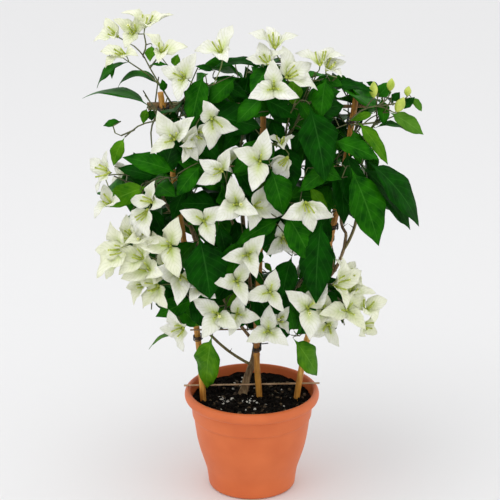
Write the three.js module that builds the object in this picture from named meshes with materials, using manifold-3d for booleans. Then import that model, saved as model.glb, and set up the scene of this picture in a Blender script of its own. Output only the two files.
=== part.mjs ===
// A white bougainvillea bush tied to a small cane trellis, in a 17 cm pot. Millimetres, +Z up.
// The origin is the middle of the pot's flat underside, and the trellis faces -Y.
import * as THREE from 'three';
import { mergeVertices } from 'three/addons/utils/BufferGeometryUtils.js';
import Module from 'manifold-3d';

const wasm = await Module();
wasm.setup();

// Driving dimensions
const GAP = 0.3;                  // air between two pieces that touch
const WELD = 0.01;                // edges shorter than this close up where solids are joined
const POT_HEIGHT = 130;
const POT_WALL = 2;
const RIM_RADIUS = 85;            // outside of the rolled lip
const SOIL_TOP = 115;
const CANE_RADIUS = 3.9;
const TRUNK_RADIUS = 4.6;         // at the fork
const TRUNK_FLARE = 3.2;          // added at the soil
const BOUGH_RADIUS = 2.1;         // where a main bough leaves the fork
const SIDE_BOUGH_RADIUS = 1.9;
const STEM_RADIUS = 1.8;          // where a mass takes over from its bough
const STEM_END_RADIUS = 1.3;
const TWIG_RADIUS = 1.0;          // where a twig leaves its stem
const CROWN = { halfWidth: 222, halfDepth: 122, halfHeight: 236, middle: 385, roundness: 2.5 };
const LEAF = { length: 66, width: 0.58, widest: 0.42, thickest: 0.2, thickness: 2.2, droop: 0.13, fold: 0.1 };
const BLOOM = { reach: 30, waist: 12, cup: 9, thickness: 5.5 };
const LEAF_SPACING = 19;          // between two leaves along a twig
const LIMB_CLEARANCE = 0.45;      // between foliage and every limb

const group = new THREE.Group();
const up = new THREE.Vector3(0, 0, 1);
const vector = (x, y, z) => new THREE.Vector3(x, y, z);

const MATERIALS = {
  pot: { color: 0xd9774a, roughness: 0.55 },
  soil: { color: 0x1d1815, roughness: 0.95 },
  cane: { color: 0xb58a52, roughness: 0.6 },
  bar: { color: 0x7b6444, roughness: 0.8 },
  bark: { color: 0x6b5a48, roughness: 0.85 },
  foliage: { color: 0x2f6b25, roughness: 0.5 },
};

function addMesh(name, geometry, finish) {
  const material = new THREE.MeshStandardMaterial({ ...MATERIALS[finish], metalness: 0 });
  const mesh = new THREE.Mesh(geometry, material);
  mesh.name = name;
  group.add(mesh);
  return mesh;
}

// Keeps only the positions of a geometry and welds its corners.
function weld(geometry) {
  geometry.deleteAttribute('normal');
  geometry.deleteAttribute('uv');
  return mergeVertices(geometry, 1e-4);
}

function toSolid(geometry) {
  const welded = weld(geometry.clone());
  return new wasm.Manifold(new wasm.Mesh({
    numProp: 3,
    vertProperties: new Float32Array(welded.attributes.position.array),
    triVerts: new Uint32Array(welded.index.array),
    tolerance: WELD,
  }));
}

// Joins solids that grow on one stem, and keeps the one body that hangs together.
function fuse(solids) {
  const bodies = wasm.Manifold.union(solids).decompose();
  const whole = bodies.reduce((best, body) => (body.volume() > best.volume() ? body : best));
  const { vertProperties, triVerts } = whole.getMesh();
  const geometry = new THREE.BufferGeometry();
  geometry.setAttribute('position', new THREE.BufferAttribute(vertProperties, 3));
  geometry.setIndex(new THREE.BufferAttribute(triVerts, 1));
  geometry.computeVertexNormals();
  return geometry;
}

// ---------------------------------------------------------------- pot and soil

function turned(outline) {
  const geometry = new THREE.LatheGeometry(outline.map(([r, z]) => new THREE.Vector2(r, z)), 32);
  return geometry.rotateX(Math.PI / 2);
}

// The bell-shaped wall from the foot to under the lip, as [radius, height].
const WALL = [[55, 2], [57.5, 24], [62.5, 37], [67, 52], [72, 80], [77, 115.5]];
const LIP = [[82.5, 116.5], [RIM_RADIUS, 123], [82.6, 129.2], [79.4, POT_HEIGHT]];
const inside = WALL.slice(1).map(([r, z]) => [r - POT_WALL, z]).reverse();
const POT_FLOOR = 3;
const FOOT_RADIUS = 52;
const CORNER = 2;                 // cut off where a wall meets a floor

addMesh('pot', turned([[0, 0], [FOOT_RADIUS, 0], ...WALL, ...LIP, ...inside.slice(0, -1),
  [inside.at(-1)[0], POT_FLOOR + CORNER], [inside.at(-1)[0] - CORNER, POT_FLOOR], [0, POT_FLOOR]]), 'pot');

const soilSide = inside.filter(([, z]) => z < SOIL_TOP).map(([r, z]) => [r - GAP, z]).reverse();
addMesh('soil', turned([[0, POT_FLOOR + GAP], [soilSide[0][0] - CORNER, POT_FLOOR + GAP], ...soilSide,
  [inside[0][0] - GAP, SOIL_TOP], [0, SOIL_TOP]]), 'soil');

// ---------------------------------------------------------------- round limbs

// A cylinder whose rings are carried along a curve. radiusAt(t) gives its radius from 0 to 1, and
// baseNormal turns the first ring to lie flat against what the limb starts from.
function limbGeometry(curve, radiusAt, sides, steps, baseNormal) {
  const geometry = new THREE.CylinderGeometry(1, 1, 1, sides, steps);
  const frames = curve.computeFrenetFrames(steps);
  const centres = curve.getSpacedPoints(steps);
  const { position } = geometry.attributes;
  for (let k = 0; k < position.count; k += 1) {
    const t = position.getY(k) + 0.5;
    const ring = Math.round(t * steps);
    let side = frames.normals[ring].clone();
    let tangent = frames.tangents[ring].clone();
    if (ring === 0 && baseNormal) {
      tangent = baseNormal.clone().normalize();
      side = side.addScaledVector(tangent, -side.dot(tangent)).normalize();
    }
    const across = vector().crossVectors(tangent, side);
    const radius = radiusAt(t);
    const point = centres[ring].clone()
      .addScaledVector(across, position.getX(k) * radius)
      .addScaledVector(side, position.getZ(k) * radius);
    position.setXYZ(k, point.x, point.y, point.z);
  }
  return geometry;
}

const taper = (base, tip) => (t) => base + (tip - base) * t;
const smoothCurve = (points) => new THREE.CatmullRomCurve3(points, false, 'catmullrom', 0.5);

const limbs = [];                 // every cane, bar, trunk and bough: what foliage keeps clear of

function addLimb(name, finish, { curve, radiusAt, sides, steps, baseNormal }) {
  addMesh(name, limbGeometry(curve, radiusAt, sides, steps, baseNormal), finish);
  const fatter = (t) => radiusAt(t) + LIMB_CLEARANCE;
  limbs.push(toSolid(limbGeometry(curve, fatter, sides, steps, baseNormal)));
}

// ---------------------------------------------------------------- cane trellis

// Each cane's middle line from the soil to its cut top. They lean together at the top bar.
const CANES = {
  cane_left: [[-61, -8, SOIL_TOP + GAP], [-67, -6.4, 196], [-85, -3.6, 338], [-110, 0, 517]],
  cane_centre: [[9.7, 4, SOIL_TOP + GAP], [6, 3.3, 189], [11, 1.6, 350], [14, 0, 515]],
  cane_right: [[55.8, -1, SOIL_TOP + GAP], [69, -0.8, 196], [104, -0.3, 369], [125, 0, 511]],
};
for (const [name, points] of Object.entries(CANES)) {
  const curve = smoothCurve(points.map((p) => vector(...p)));
  addLimb(name, 'cane', {
    curve, radiusAt: taper(CANE_RADIUS, CANE_RADIUS - 0.3), sides: 8, steps: 5, baseNormal: up,
  });
}

// Thin split sticks tied across the front of the canes. The lowest lies on the pot's rim, between the
// canes and the trunk.
const RIM_STICK_RADIUS = 1.2;
const BARS = {
  bar_rim: {
    from: [-86, 5, 0], to: [86, 12.7, 0], radius: RIM_STICK_RADIUS, height: POT_HEIGHT + RIM_STICK_RADIUS + GAP,
  },
  bar_low: { from: [-77, -11.4, 0], to: [84, -6.2, 0], radius: 1, height: 214 },
  bar_high: { from: [-107, -7.2, 0], to: [121, -5.6, 0], radius: 1, height: 426 },
};
for (const [name, { from, to, radius, height }] of Object.entries(BARS)) {
  const curve = new THREE.LineCurve3(vector(...from).setZ(height), vector(...to).setZ(height));
  addLimb(name, 'bar', { curve, radiusAt: () => radius, sides: 6, steps: 1 });
}

// The top bar is a rough slat behind the canes, broad at its left end and thin at its right.
const TOP_BAR = { left: -126, right: 138, y: 5.9, z: 498, depth: 3.2, leftHeight: 10, rightHeight: 3.4 };
const slat = new THREE.BoxGeometry(1, 1, 1, 4, 1, 1);
for (let k = 0; k < slat.attributes.position.count; k += 1) {
  const { position } = slat.attributes;
  const t = position.getX(k) + 0.5;
  const height = THREE.MathUtils.lerp(TOP_BAR.leftHeight, TOP_BAR.rightHeight, t);
  position.setXYZ(k, THREE.MathUtils.lerp(TOP_BAR.left, TOP_BAR.right, t),
    TOP_BAR.y + position.getY(k) * TOP_BAR.depth, TOP_BAR.z + position.getZ(k) * height);
}
addMesh('bar_top', slat, 'bar');
limbs.push(toSolid(slat));

// ---------------------------------------------------------------- trunk and boughs

const trunkCurve = smoothCurve([vector(-12, 14, SOIL_TOP + GAP), vector(-6, 16, 138),
  vector(2, 19, 160), vector(6, 20, 182)]);
const trunkRadius = (t) => TRUNK_RADIUS + TRUNK_FLARE * (1 - t) ** 5;
addLimb('trunk', 'bark', { curve: trunkCurve, radiusAt: trunkRadius, sides: 9, steps: 8, baseNormal: up });

const parents = { trunk: { curve: trunkCurve, radiusAt: trunkRadius } };

function addBough(name, curve, baseRadius, tipRadius, steps, baseNormal) {
  const radiusAt = taper(baseRadius, tipRadius);
  parents[name] = { curve, radiusAt };
  addLimb(name, 'bark', { curve, radiusAt, sides: 6, steps, baseNormal });
}

// Three main boughs stand round the middle of the trunk's end and run up behind the canes.
const FORK_OFFSET = 2.6;
const MAIN_BOUGHS = {
  bough_left: [[-24, 17, 224], [-52, 14, 280], [-78, 13, 350], [-90, 14, 455]],
  bough_centre: [[1, 21, 235], [-6, 19, 300], [-12, 17, 370], [-14, 18, 440]],
  bough_right: [[34, 17, 218], [72, 13, 250], [104, 9, 288], [116, 8, 330], [110, 10, 352], [112, 13, 430]],
};
const forkEnd = trunkCurve.getPointAt(1);
const forkHeading = trunkCurve.getTangentAt(1);
const forkSide = vector().crossVectors(vector(0, 1, 0), forkHeading).normalize();
const forkBack = vector().crossVectors(forkHeading, forkSide);
const forkTurns = { bough_left: 200, bough_centre: 80, bough_right: -40 };
for (const [name, points] of Object.entries(MAIN_BOUGHS)) {
  const turn = THREE.MathUtils.degToRad(forkTurns[name]);
  const start = forkEnd.clone().addScaledVector(forkHeading, GAP)
    .addScaledVector(forkSide, FORK_OFFSET * Math.cos(turn)).addScaledVector(forkBack, FORK_OFFSET * Math.sin(turn));
  const curve = smoothCurve([start, ...points.map((p) => vector(...p))]);
  addBough(name, curve, BOUGH_RADIUS, STEM_RADIUS, 12, forkHeading);
}

// The rest start on the side of a limb, t of the way along it, and bend by way of one point to a tip.
const SIDE_BOUGHS = {
  bough_low_left: ['trunk', 0.6, [-70, 18, 190], [-96, -14, 296]],
  bough_left_top: ['bough_left', 0.93, [-82, 4, 458], [-82, -18, 480]],
  bough_left_middle: ['bough_left', 0.62, [-112, 14, 366], [-108, -16, 398]],
  bough_centre_top: ['bough_centre', 0.72, [32, 20, 412], [34, -16, 446]],
  bough_centre_middle: ['bough_centre', 0.56, [-28, 10, 344], [-26, -18, 374]],
  bough_centre_low: ['bough_centre', 0.24, [-26, 14, 246], [-20, -18, 278]],
  bough_right_top: ['bough_right', 0.93, [138, 10, 436], [140, -12, 468]],
  bough_right_middle: ['bough_right', 0.6, [136, 4, 352], [126, -16, 398]],
  bough_right_low: ['bough_right', 0.27, [52, 2, 262], [62, -18, 284]],
  bough_back_left: ['bough_left', 0.42, [-62, 30, 308], [-76, 36, 336]],
  bough_back_right: ['bough_right', 0.5, [94, 30, 326], [86, 38, 356]],
  bough_back_low: ['bough_centre', 0.14, [4, 34, 224], [6, 40, 246]],
};
for (const [name, [parentName, t, via, tip]] of Object.entries(SIDE_BOUGHS)) {
  const parent = parents[parentName];
  const middle = parent.curve.getPointAt(t);
  const along = parent.curve.getTangentAt(t);
  const side = vector(...via).sub(middle);
  side.addScaledVector(along, -side.dot(along)).normalize();
  const start = middle.clone().addScaledVector(side, parent.radiusAt(t) + GAP);
  const curve = new THREE.QuadraticBezierCurve3(start, vector(...via), vector(...tip));
  addBough(name, curve, SIDE_BOUGH_RADIUS, STEM_RADIUS, 5, side);
}

// ---------------------------------------------------------------- growth rule

// Park and Miller's generator, so that each mass grows the same way every time.
const MULTIPLIER = 48271;
const MODULUS = 2 ** 31 - 1;

function drawsFrom(seed) {
  let state = seed;
  return (low, high) => {
    state = (state * MULTIPLIER) % MODULUS;
    return low + ((high - low) * state) / MODULUS;
  };
}

// How far the crown stands out from the trellis, front or back, at a place on it.
function crownDepth(x, z) {
  const { halfWidth, halfDepth, halfHeight, middle, roundness } = CROWN;
  const rest = 1 - Math.abs(x / halfWidth) ** roundness - Math.abs((z - middle) / halfHeight) ** roundness;
  return halfDepth * Math.max(0, rest) ** (1 / roundness);
}

// The way out of the crown at a place.
function outwardAt(p) {
  return vector(p.x / CROWN.halfWidth ** 2, p.y / CROWN.halfDepth ** 2,
    (p.z - CROWN.middle) / CROWN.halfHeight ** 2).normalize();
}

const perpendicular = (v, axis) => v.clone().addScaledVector(axis, -v.dot(axis)).normalize();

// A leaf is an eight-sided solid: root, tip, two edges, and the two faces of its midrib.
function leafGeometry(root, direction, facing, length, width) {
  const geometry = weld(new THREE.OctahedronGeometry(1, 0));
  const normal = perpendicular(facing, direction);
  const across = vector().crossVectors(normal, direction);
  const widest = root.clone().addScaledVector(direction, length * LEAF.widest);
  const thickest = root.clone().addScaledVector(direction, length * LEAF.thickest);
  const corner = {
    '1,0,0': root.clone().addScaledVector(direction, length).addScaledVector(normal, -length * LEAF.droop),
    '-1,0,0': root.clone().addScaledVector(direction, -TWIG_RADIUS / 4),
    '0,1,0': widest.clone().addScaledVector(across, width / 2).addScaledVector(normal, length * LEAF.fold),
    '0,-1,0': widest.clone().addScaledVector(across, -width / 2).addScaledVector(normal, length * LEAF.fold),
    '0,0,1': thickest.clone().addScaledVector(normal, LEAF.thickness / 2),
    '0,0,-1': thickest.clone().addScaledVector(normal, -LEAF.thickness / 2),
  };
  const { position } = geometry.attributes;
  for (let k = 0; k < position.count; k += 1) {
    const key = [position.getX(k), position.getY(k), position.getZ(k)].map((v) => Math.round(v) + 0).join();
    const { x, y, z } = corner[key];
    position.setXYZ(k, x, y, z);
  }
  return geometry;
}

// A bloom is a cup of three pointed bracts: a sphere of six meridians with every other one drawn out.
function bloomGeometry(centre, facing, turn, scale) {
  const geometry = weld(new THREE.SphereGeometry(1, 6, 2));
  const right = perpendicular(Math.abs(facing.z) > 0.9 ? vector(1, 0, 0) : up, facing);
  const over = vector().crossVectors(facing, right);
  const { position } = geometry.attributes;
  for (let k = 0; k < position.count; k += 1) {
    const [x, y, z] = [position.getX(k), position.getY(k), position.getZ(k)];
    const point = centre.clone();
    if (Math.abs(y) > 0.5) {
      point.addScaledVector(facing, y > 0 ? 0 : -BLOOM.thickness);
    } else {
      const meridian = Math.round(Math.atan2(z, x) / (Math.PI / 3));
      const isTip = meridian % 2 === 0;
      const angle = turn + (meridian * Math.PI) / 3;
      const reach = (isTip ? BLOOM.reach : BLOOM.waist) * scale;
      point.addScaledVector(right, -reach * Math.cos(angle)).addScaledVector(over, reach * Math.sin(angle))
        .addScaledVector(facing, isTip ? BLOOM.cup * scale : 0);
    }
    position.setXYZ(k, point.x, point.y, point.z);
  }
  return geometry;
}

const keepOut = wasm.Manifold.union(limbs);

function isInside(geometry, cell) {
  const { position } = geometry.attributes;
  for (let k = 0; k < position.count; k += 1) {
    const [x, y, z] = [position.getX(k), position.getY(k), position.getZ(k)];
    if (x < cell.x[0] || x > cell.x[1] || y < cell.y[0] || y > cell.y[1]) return false;
    if (z < cell.z[0] || z > cell.z[1]) return false;
  }
  return true;
}

// No leaf lies through a bloom or in front of its face.
const FACE = { behind: -6, ahead: 60, radius: 20 };

function hidesBloom(points, blooms) {
  return blooms.some(({ centre, facing }) => points.some((p) => {
    const offset = p.clone().sub(centre);
    const ahead = offset.dot(facing);
    return ahead > FACE.behind && ahead < FACE.ahead
      && offset.addScaledVector(facing, -ahead).length() < FACE.radius;
  }));
}

const GOLDEN_ANGLE = Math.PI * (3 - Math.sqrt(5));
const GOLDEN_SHARE = 0.618034;
const TURNS = [0, 70, -70, 140, -140, 35].map(THREE.MathUtils.degToRad);
// Where stems head for and where shoots end, however far out the space of their mass reaches.
const STEM_SPAN = { left: -165, right: 165, low: 170, high: 570, depth: 0.6 };
const SHOOT_SPAN = { left: -175, right: 170, low: 190, high: 590, inset: 15, rise: 20 };
const SHOOT_DEPTH = [0.3, 0.86];
const SHOOT_STEP = 55;            // length of a shoot between two of its rings
const TRUSS = { spread: 15, perBloom: 4, lean: 0.018, ahead: 15, dome: 0.15 };

class Mass {
  constructor({ bough, x, y, z, trusses = [], leaves = [], shoots }, seed) {
    this.cell = { x, y, z };
    this.draw = drawsFrom(seed);
    this.side = Math.sign(y[0] + y[1]);
    this.twigs = [];
    this.blooms = [];
    this.blades = [];
    this.growStem(parents[bough].curve);
    this.growShoots(trusses, leaves, shoots);
  }

  // The stem takes over from its bough's tip and heads for the middle of the mass's space.
  growStem(bough) {
    const { x, z } = this.cell;
    const heading = bough.getTangentAt(1);
    const foot = bough.getPointAt(1).addScaledVector(heading, GAP);
    const middleX = THREE.MathUtils.clamp((x[0] + x[1]) / 2, STEM_SPAN.left, STEM_SPAN.right);
    const middleZ = (Math.max(z[0], STEM_SPAN.low) + Math.min(z[1], STEM_SPAN.high)) / 2;
    const middle = vector(middleX, this.side * crownDepth(middleX, middleZ) * STEM_SPAN.depth, middleZ);
    const bend = foot.clone().addScaledVector(heading, 14);
    this.stem = new THREE.QuadraticBezierCurve3(foot, bend, foot.clone().lerp(middle, 0.6));
    const geometry = limbGeometry(this.stem, taper(STEM_RADIUS, STEM_END_RADIUS), 5, 3, heading);
    this.twigs.push({ solid: toSolid(geometry) });
  }

  // The solid of a shape, if it stays in the mass's space, clear of every limb and of the pieces given.
  fit(geometry, others) {
    if (!isInside(geometry, this.cell)) return null;
    const solid = toSolid(geometry);
    const clear = [keepOut, ...others.map((other) => other.solid)].every((other) => solid.intersect(other).isEmpty());
    return clear ? solid : null;
  }

  growShoots(trusses, leaves, shoots) {
    const ends = [];
    for (const [x, z, blooms] of trusses) {
      ends.push({ point: this.crownPoint(x, z, 0.85, -10), blooms });
    }
    for (const [x, y, z, tipX, tipZ] of leaves) {
      ends.push({ point: vector(x, y, z), leafTip: vector(tipX, y + this.side * 6, tipZ) });
    }
    for (let k = 0; k < shoots; k += 1) {
      const [shift, step, depth] = [this.draw(0, 1), this.draw(-0.5, 0.5), this.draw(...SHOOT_DEPTH)];
      const { x, z } = this.cell;
      const { left, right, low, high, inset, rise } = SHOOT_SPAN;
      const across = (0.5 + k * GOLDEN_SHARE + shift * 0.2) % 1;
      const px = THREE.MathUtils.lerp(Math.max(x[0] + inset, left), Math.min(x[1] - inset, right), across);
      const upward = (k + 0.5 + step) / shoots;
      const pz = THREE.MathUtils.lerp(Math.max(z[0] + rise, low), Math.min(z[1] - rise, high), upward);
      ends.push({ point: this.crownPoint(px, pz, depth, 0) });
    }
    const grown = ends.map((end, k) => this.growShoot(end, (k + 1) / ends.length)).filter((shoot) => shoot);
    for (const shoot of grown) if (shoot.end.blooms) this.growTruss(shoot);
    for (const shoot of grown) this.growLeaves(shoot);
  }

  crownPoint(x, z, share, offset) {
    return vector(x, this.side * Math.max(14, crownDepth(x, z) * share + offset), z);
  }

  growShoot(end, rank) {
    const lift = this.draw(4, 22);
    const sway = this.draw(-12, 12);
    const start = this.stem.getPointAt(0.2 + 0.75 * rank);
    const bend = start.clone().lerp(end.point, 0.5).add(vector(sway, this.side * 6, lift));
    const curve = new THREE.QuadraticBezierCurve3(start, bend, end.point);
    const steps = Math.max(2, Math.round(curve.getLength() / SHOOT_STEP));
    const solid = this.fit(limbGeometry(curve, taper(TWIG_RADIUS, TWIG_RADIUS * 0.8), 3, steps), []);
    if (!solid) return null;
    const twig = { solid };
    this.twigs.push(twig);
    return { curve, end, twig };
  }

  // Blooms stand round the end of a shoot on thin stalks, each turned a little away from the rest.
  growTruss({ curve, end, twig }) {
    const tip = curve.getPointAt(1);
    const outward = outwardAt(tip);
    const axis = outward.clone().multiplyScalar(0.9).add(vector(0, this.side * 0.35, 0.12)).normalize();
    const right = perpendicular(vector(1, 0.01, 0), axis);
    const over = vector().crossVectors(axis, right);
    const count = end.blooms;
    const spread = count === 1 ? 0 : TRUSS.spread + TRUSS.perBloom * count;
    for (let k = 0; k < count; k += 1) {
      const inner = count > 4 && k === 0;
      const angle = this.draw(-0.35, 0.35) + (k * 2 * Math.PI) / (count - (count > 4 ? 1 : 0));
      const turn = this.draw(0, 2);
      const scale = this.draw(0.86, 1.06);
      const radial = right.clone().multiplyScalar(Math.cos(angle)).addScaledVector(over, Math.sin(angle));
      const distance = inner ? 0 : spread;
      const facing = axis.clone().addScaledVector(radial, distance * TRUSS.lean).normalize();
      const centre = tip.clone().addScaledVector(axis, TRUSS.ahead - distance * TRUSS.dome)
        .addScaledVector(radial, distance);
      this.placeBloom(curve.getPointAt(1 - 0.05 * (k + 0.5)), centre, facing, turn, scale, twig);
    }
  }

  placeBloom(foot, wanted, facing, turn, scale, twig) {
    const { x, z } = this.cell;
    const inward = vector((x[0] + x[1]) / 2, wanted.y, (z[0] + z[1]) / 2).sub(wanted).normalize();
    const others = [...this.blooms, ...this.twigs.filter((other) => other !== twig)];
    for (const shift of [0, 8, 16, 24]) {
      for (const extraTurn of [0, Math.PI / 3]) {
        const centre = wanted.clone().addScaledVector(inward, shift);
        const stalkEnd = centre.clone().addScaledVector(facing, -BLOOM.thickness / 2);
        const stalk = this.fit(limbGeometry(new THREE.LineCurve3(foot, stalkEnd), taper(0.4, 0.7), 3, 1), []);
        const solid = stalk && this.fit(bloomGeometry(centre, facing, turn + extraTurn, scale), others);
        if (solid) {
          this.blooms.push({ solid, stalk, centre, facing });
          return;
        }
      }
    }
  }

  growLeaves({ curve, end, twig }) {
    if (end.leafTip) {
      const direction = end.leafTip.clone().sub(end.point);
      const length = direction.length();
      direction.normalize();
      const facing = outwardAt(end.point).add(vector(0, this.side * 0.5, 0.2));
      const root = end.point.clone().addScaledVector(curve.getTangentAt(1), -1.5);
      this.addBlade([leafGeometry(root, direction, facing, length, length * LEAF.width)], twig);
    }
    const count = Math.max(1, Math.round(curve.getLength() / LEAF_SPACING));
    const phase = this.draw(0, 2 * Math.PI);
    for (let k = 0; k < count; k += 1) {
      const root = curve.getPointAt((k + 0.9) / (count + 0.35));
      const tangent = curve.getTangentAt((k + 0.9) / (count + 0.35));
      const size = this.draw(0.78, 1.2);
      const jitter = vector(this.draw(-0.35, 0.35), this.draw(-0.35, 0.35), this.draw(-0.2, 0.35));
      this.placeLeaf(root, tangent, phase + k * GOLDEN_ANGLE, size * LEAF.length, jitter, twig);
    }
  }

  // The first of several shapes of a leaf that fits joins the mass.
  addBlade(shapes, twig) {
    const others = [...this.blades, ...this.blooms, ...this.twigs.filter((other) => other !== twig)];
    for (const shape of shapes) {
      const solid = this.fit(shape, others);
      if (solid) {
        this.blades.push({ solid });
        return;
      }
    }
  }

  placeLeaf(root, tangent, angle, length, jitter, twig) {
    const outward = outwardAt(root);
    const right = perpendicular(Math.abs(tangent.z) > 0.9 ? vector(1, 0, 0) : up, tangent);
    const over = vector().crossVectors(tangent, right);
    const shapes = [];
    for (const turn of TURNS) {
      const radial = right.clone().multiplyScalar(Math.cos(angle + turn))
        .addScaledVector(over, Math.sin(angle + turn));
      const direction = radial.multiplyScalar(0.62).addScaledVector(outward, 0.4)
        .addScaledVector(tangent, 0.2).add(vector(0, 0, -0.35)).normalize();
      const facing = outward.clone().multiplyScalar(0.8).add(vector(0, 0, 0.5)).add(jitter);
      const along = [0.35, 0.7, 1].map((s) => root.clone().addScaledVector(direction, length * s));
      if (!hidesBloom(along, this.blooms)) {
        shapes.push(leafGeometry(root, direction, facing, length, length * LEAF.width));
      }
    }
    this.addBlade(shapes, twig);
  }

  // Everything that grew on the stem, as one body.
  geometry() {
    const stalks = this.blooms.map((bloom) => bloom.stalk);
    const solids = [...this.twigs, ...this.blooms, ...this.blades].map((piece) => piece.solid);
    return fuse([...solids, ...stalks]);
  }
}

// ---------------------------------------------------------------- masses of foliage

// Each mass has its own box of space. A truss is [x, z, blooms], and stands at the crown's surface.
// A single leaf that shapes the outline is [x, y, z, tip x, tip z], from its root. Further shoots
// fill the rest of the space.
const FRONT = [-150, 2];
const BACK = [3, 150];
const MASSES = {
  front_left_top: { bough: 'bough_left_top', x: [-240, -12], y: FRONT, z: [453, 640],
    trusses: [[-136, 589, 5], [-43, 595, 1], [-86, 555, 1], [-89, 490, 3], [-45, 506, 1]],
    leaves: [[-125, -30, 511, -204, 521], [-115, -35, 536, -170, 534], [-45, -75, 547, -72, 504]], shoots: 2 },
  front_centre_top: { bough: 'bough_centre_top', x: [-10, 128], y: FRONT, z: [453, 640],
    trusses: [[38, 572, 4], [84, 578, 2], [12, 478, 2]],
    leaves: [[56, -85, 531, 81, 458], [103, -60, 555, 82, 511]], shoots: 3 },
  front_right_top: { bough: 'bough_right_top', x: [130, 240], y: FRONT, z: [453, 640],
    trusses: [[164, 525, 3]],
    leaves: [[162, -40, 503, 204, 479], [188, -30, 501, 206, 516]], shoots: 4 },
  front_left_middle: { bough: 'bough_left_middle', x: [-240, -67], y: FRONT, z: [379, 451],
    trusses: [[-175, 432, 2], [-122, 408, 2]],
    leaves: [[-96, -85, 432, -151, 446], [-132, -75, 418, -180, 398]], shoots: 3 },
  front_centre_middle: { bough: 'bough_centre_middle', x: [-65, 92], y: FRONT, z: [322, 451],
    trusses: [[-31, 438, 2], [-9, 407, 2], [65, 402, 1], [-55, 390, 1], [42, 364, 1], [-7, 346, 2]],
    leaves: [[38, -100, 398, 71, 339], [29, -104, 394, 1, 378]], shoots: 2 },
  front_right_middle: { bough: 'bough_right_middle', x: [94, 240], y: FRONT, z: [320, 451],
    leaves: [[106, -80, 435, 152, 357], [131, -55, 443, 199, 371]], shoots: 4 },
  front_left_low: { bough: 'bough_low_left', x: [-240, -67], y: FRONT, z: [146, 377],
    trusses: [[-130, 341, 7], [-86, 250, 1]],
    leaves: [[-72, -80, 281, -114, 261], [-92, -60, 227, -128, 208]], shoots: 3 },
  front_centre_low: { bough: 'bough_centre_low', x: [-65, 50], y: FRONT, z: [146, 320],
    trusses: [[-50, 300, 1], [21, 298, 1], [-32, 270, 2], [16, 246, 1]],
    leaves: [[-49, -50, 222, -53, 155]], shoots: 3 },
  front_right_low: { bough: 'bough_right_low', x: [52, 240], y: FRONT, z: [146, 318],
    trusses: [[75, 273, 3], [120, 283, 4], [99, 300, 1]],
    leaves: [[56, -60, 223, 80, 178]], shoots: 3 },
  back_left_top: { bough: 'bough_left', x: [-240, -45], y: BACK, z: [430, 640],
    trusses: [[-120, 540, 3], [-165, 470, 2]], shoots: 6 },
  back_centre_top: { bough: 'bough_centre', x: [-43, 58], y: BACK, z: [430, 640],
    trusses: [[5, 560, 3], [10, 470, 2]], shoots: 5 },
  back_right_top: { bough: 'bough_right', x: [60, 240], y: BACK, z: [430, 640],
    trusses: [[110, 545, 3], [160, 470, 2]], shoots: 6 },
  back_left_middle: { bough: 'bough_back_left', x: [-240, 6], y: BACK, z: [290, 428],
    trusses: [[-140, 360, 3], [-50, 390, 2]], shoots: 5 },
  back_right_middle: { bough: 'bough_back_right', x: [8, 240], y: BACK, z: [290, 428],
    trusses: [[60, 380, 2], [150, 340, 3]], shoots: 5 },
  back_low: { bough: 'bough_back_low', x: [-170, 170], y: BACK, z: [146, 288],
    trusses: [[-90, 262, 3], [20, 240, 1], [100, 258, 2]], shoots: 4 },
};
const FIRST_SEED = 1013;
const SEED_STEP = 137;
Object.entries(MASSES).forEach(([name, plan], k) => {
  const mass = new Mass(plan, FIRST_SEED + SEED_STEP * k);
  addMesh(name, mass.geometry(), 'foliage');
});

export default group;
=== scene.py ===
import math

import bmesh
import bpy
import numpy as np
from mathutils import Matrix, Vector, noise


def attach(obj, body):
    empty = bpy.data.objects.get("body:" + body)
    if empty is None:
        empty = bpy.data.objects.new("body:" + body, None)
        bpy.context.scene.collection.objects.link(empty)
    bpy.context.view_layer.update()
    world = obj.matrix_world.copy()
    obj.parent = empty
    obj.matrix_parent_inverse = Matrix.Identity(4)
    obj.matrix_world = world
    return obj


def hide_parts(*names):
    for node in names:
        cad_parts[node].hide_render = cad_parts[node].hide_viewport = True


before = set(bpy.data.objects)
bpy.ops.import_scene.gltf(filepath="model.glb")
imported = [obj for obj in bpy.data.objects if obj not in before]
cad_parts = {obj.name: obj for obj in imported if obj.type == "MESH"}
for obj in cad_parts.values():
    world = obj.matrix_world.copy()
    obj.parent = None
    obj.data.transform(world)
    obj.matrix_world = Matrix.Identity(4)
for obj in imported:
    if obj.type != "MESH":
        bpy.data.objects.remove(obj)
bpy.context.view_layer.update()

# ---------------------------------------------------------------- studio
# A pale seamless floor under a soft overhead light, a weaker one from each side and a bright room.
# The camera stands 2.4 m away, well above the crown, and looks down at the pot.
MM = 0.001
EYE = Vector((-2.4, -2400, 1183.5))           # where the camera stands, in millimetres
LOOK_DOWN = math.radians(19.88)
LENS_LENGTH = 148.97
SENSOR_WIDTH = 36


def srgb(red, green, blue):
    """A colour given as it looks on a screen, from 0 to 255, made linear for the shaders."""
    linear = [((part / 255 + 0.055) / 1.055) ** 2.4 for part in (red, green, blue)]
    return (*linear, 1)


def new_finish(name):
    """A new material, with its node tree and its Principled shader."""
    material = bpy.data.materials.new(name)
    material.use_nodes = True
    tree = material.node_tree
    return material, tree, tree.nodes["Principled BSDF"]


def put(tree, kind, links=None, **settings):
    """Adds a node. links gives its inputs: a plain value, or an output of another node."""
    made = tree.nodes.new(kind)
    for setting, value in settings.items():
        setattr(made, setting, value)
    for socket, value in (links or {}).items():
        if isinstance(value, bpy.types.NodeSocket):
            tree.links.new(value, made.inputs[socket])
        else:
            made.inputs[socket].default_value = value
    return made


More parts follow.
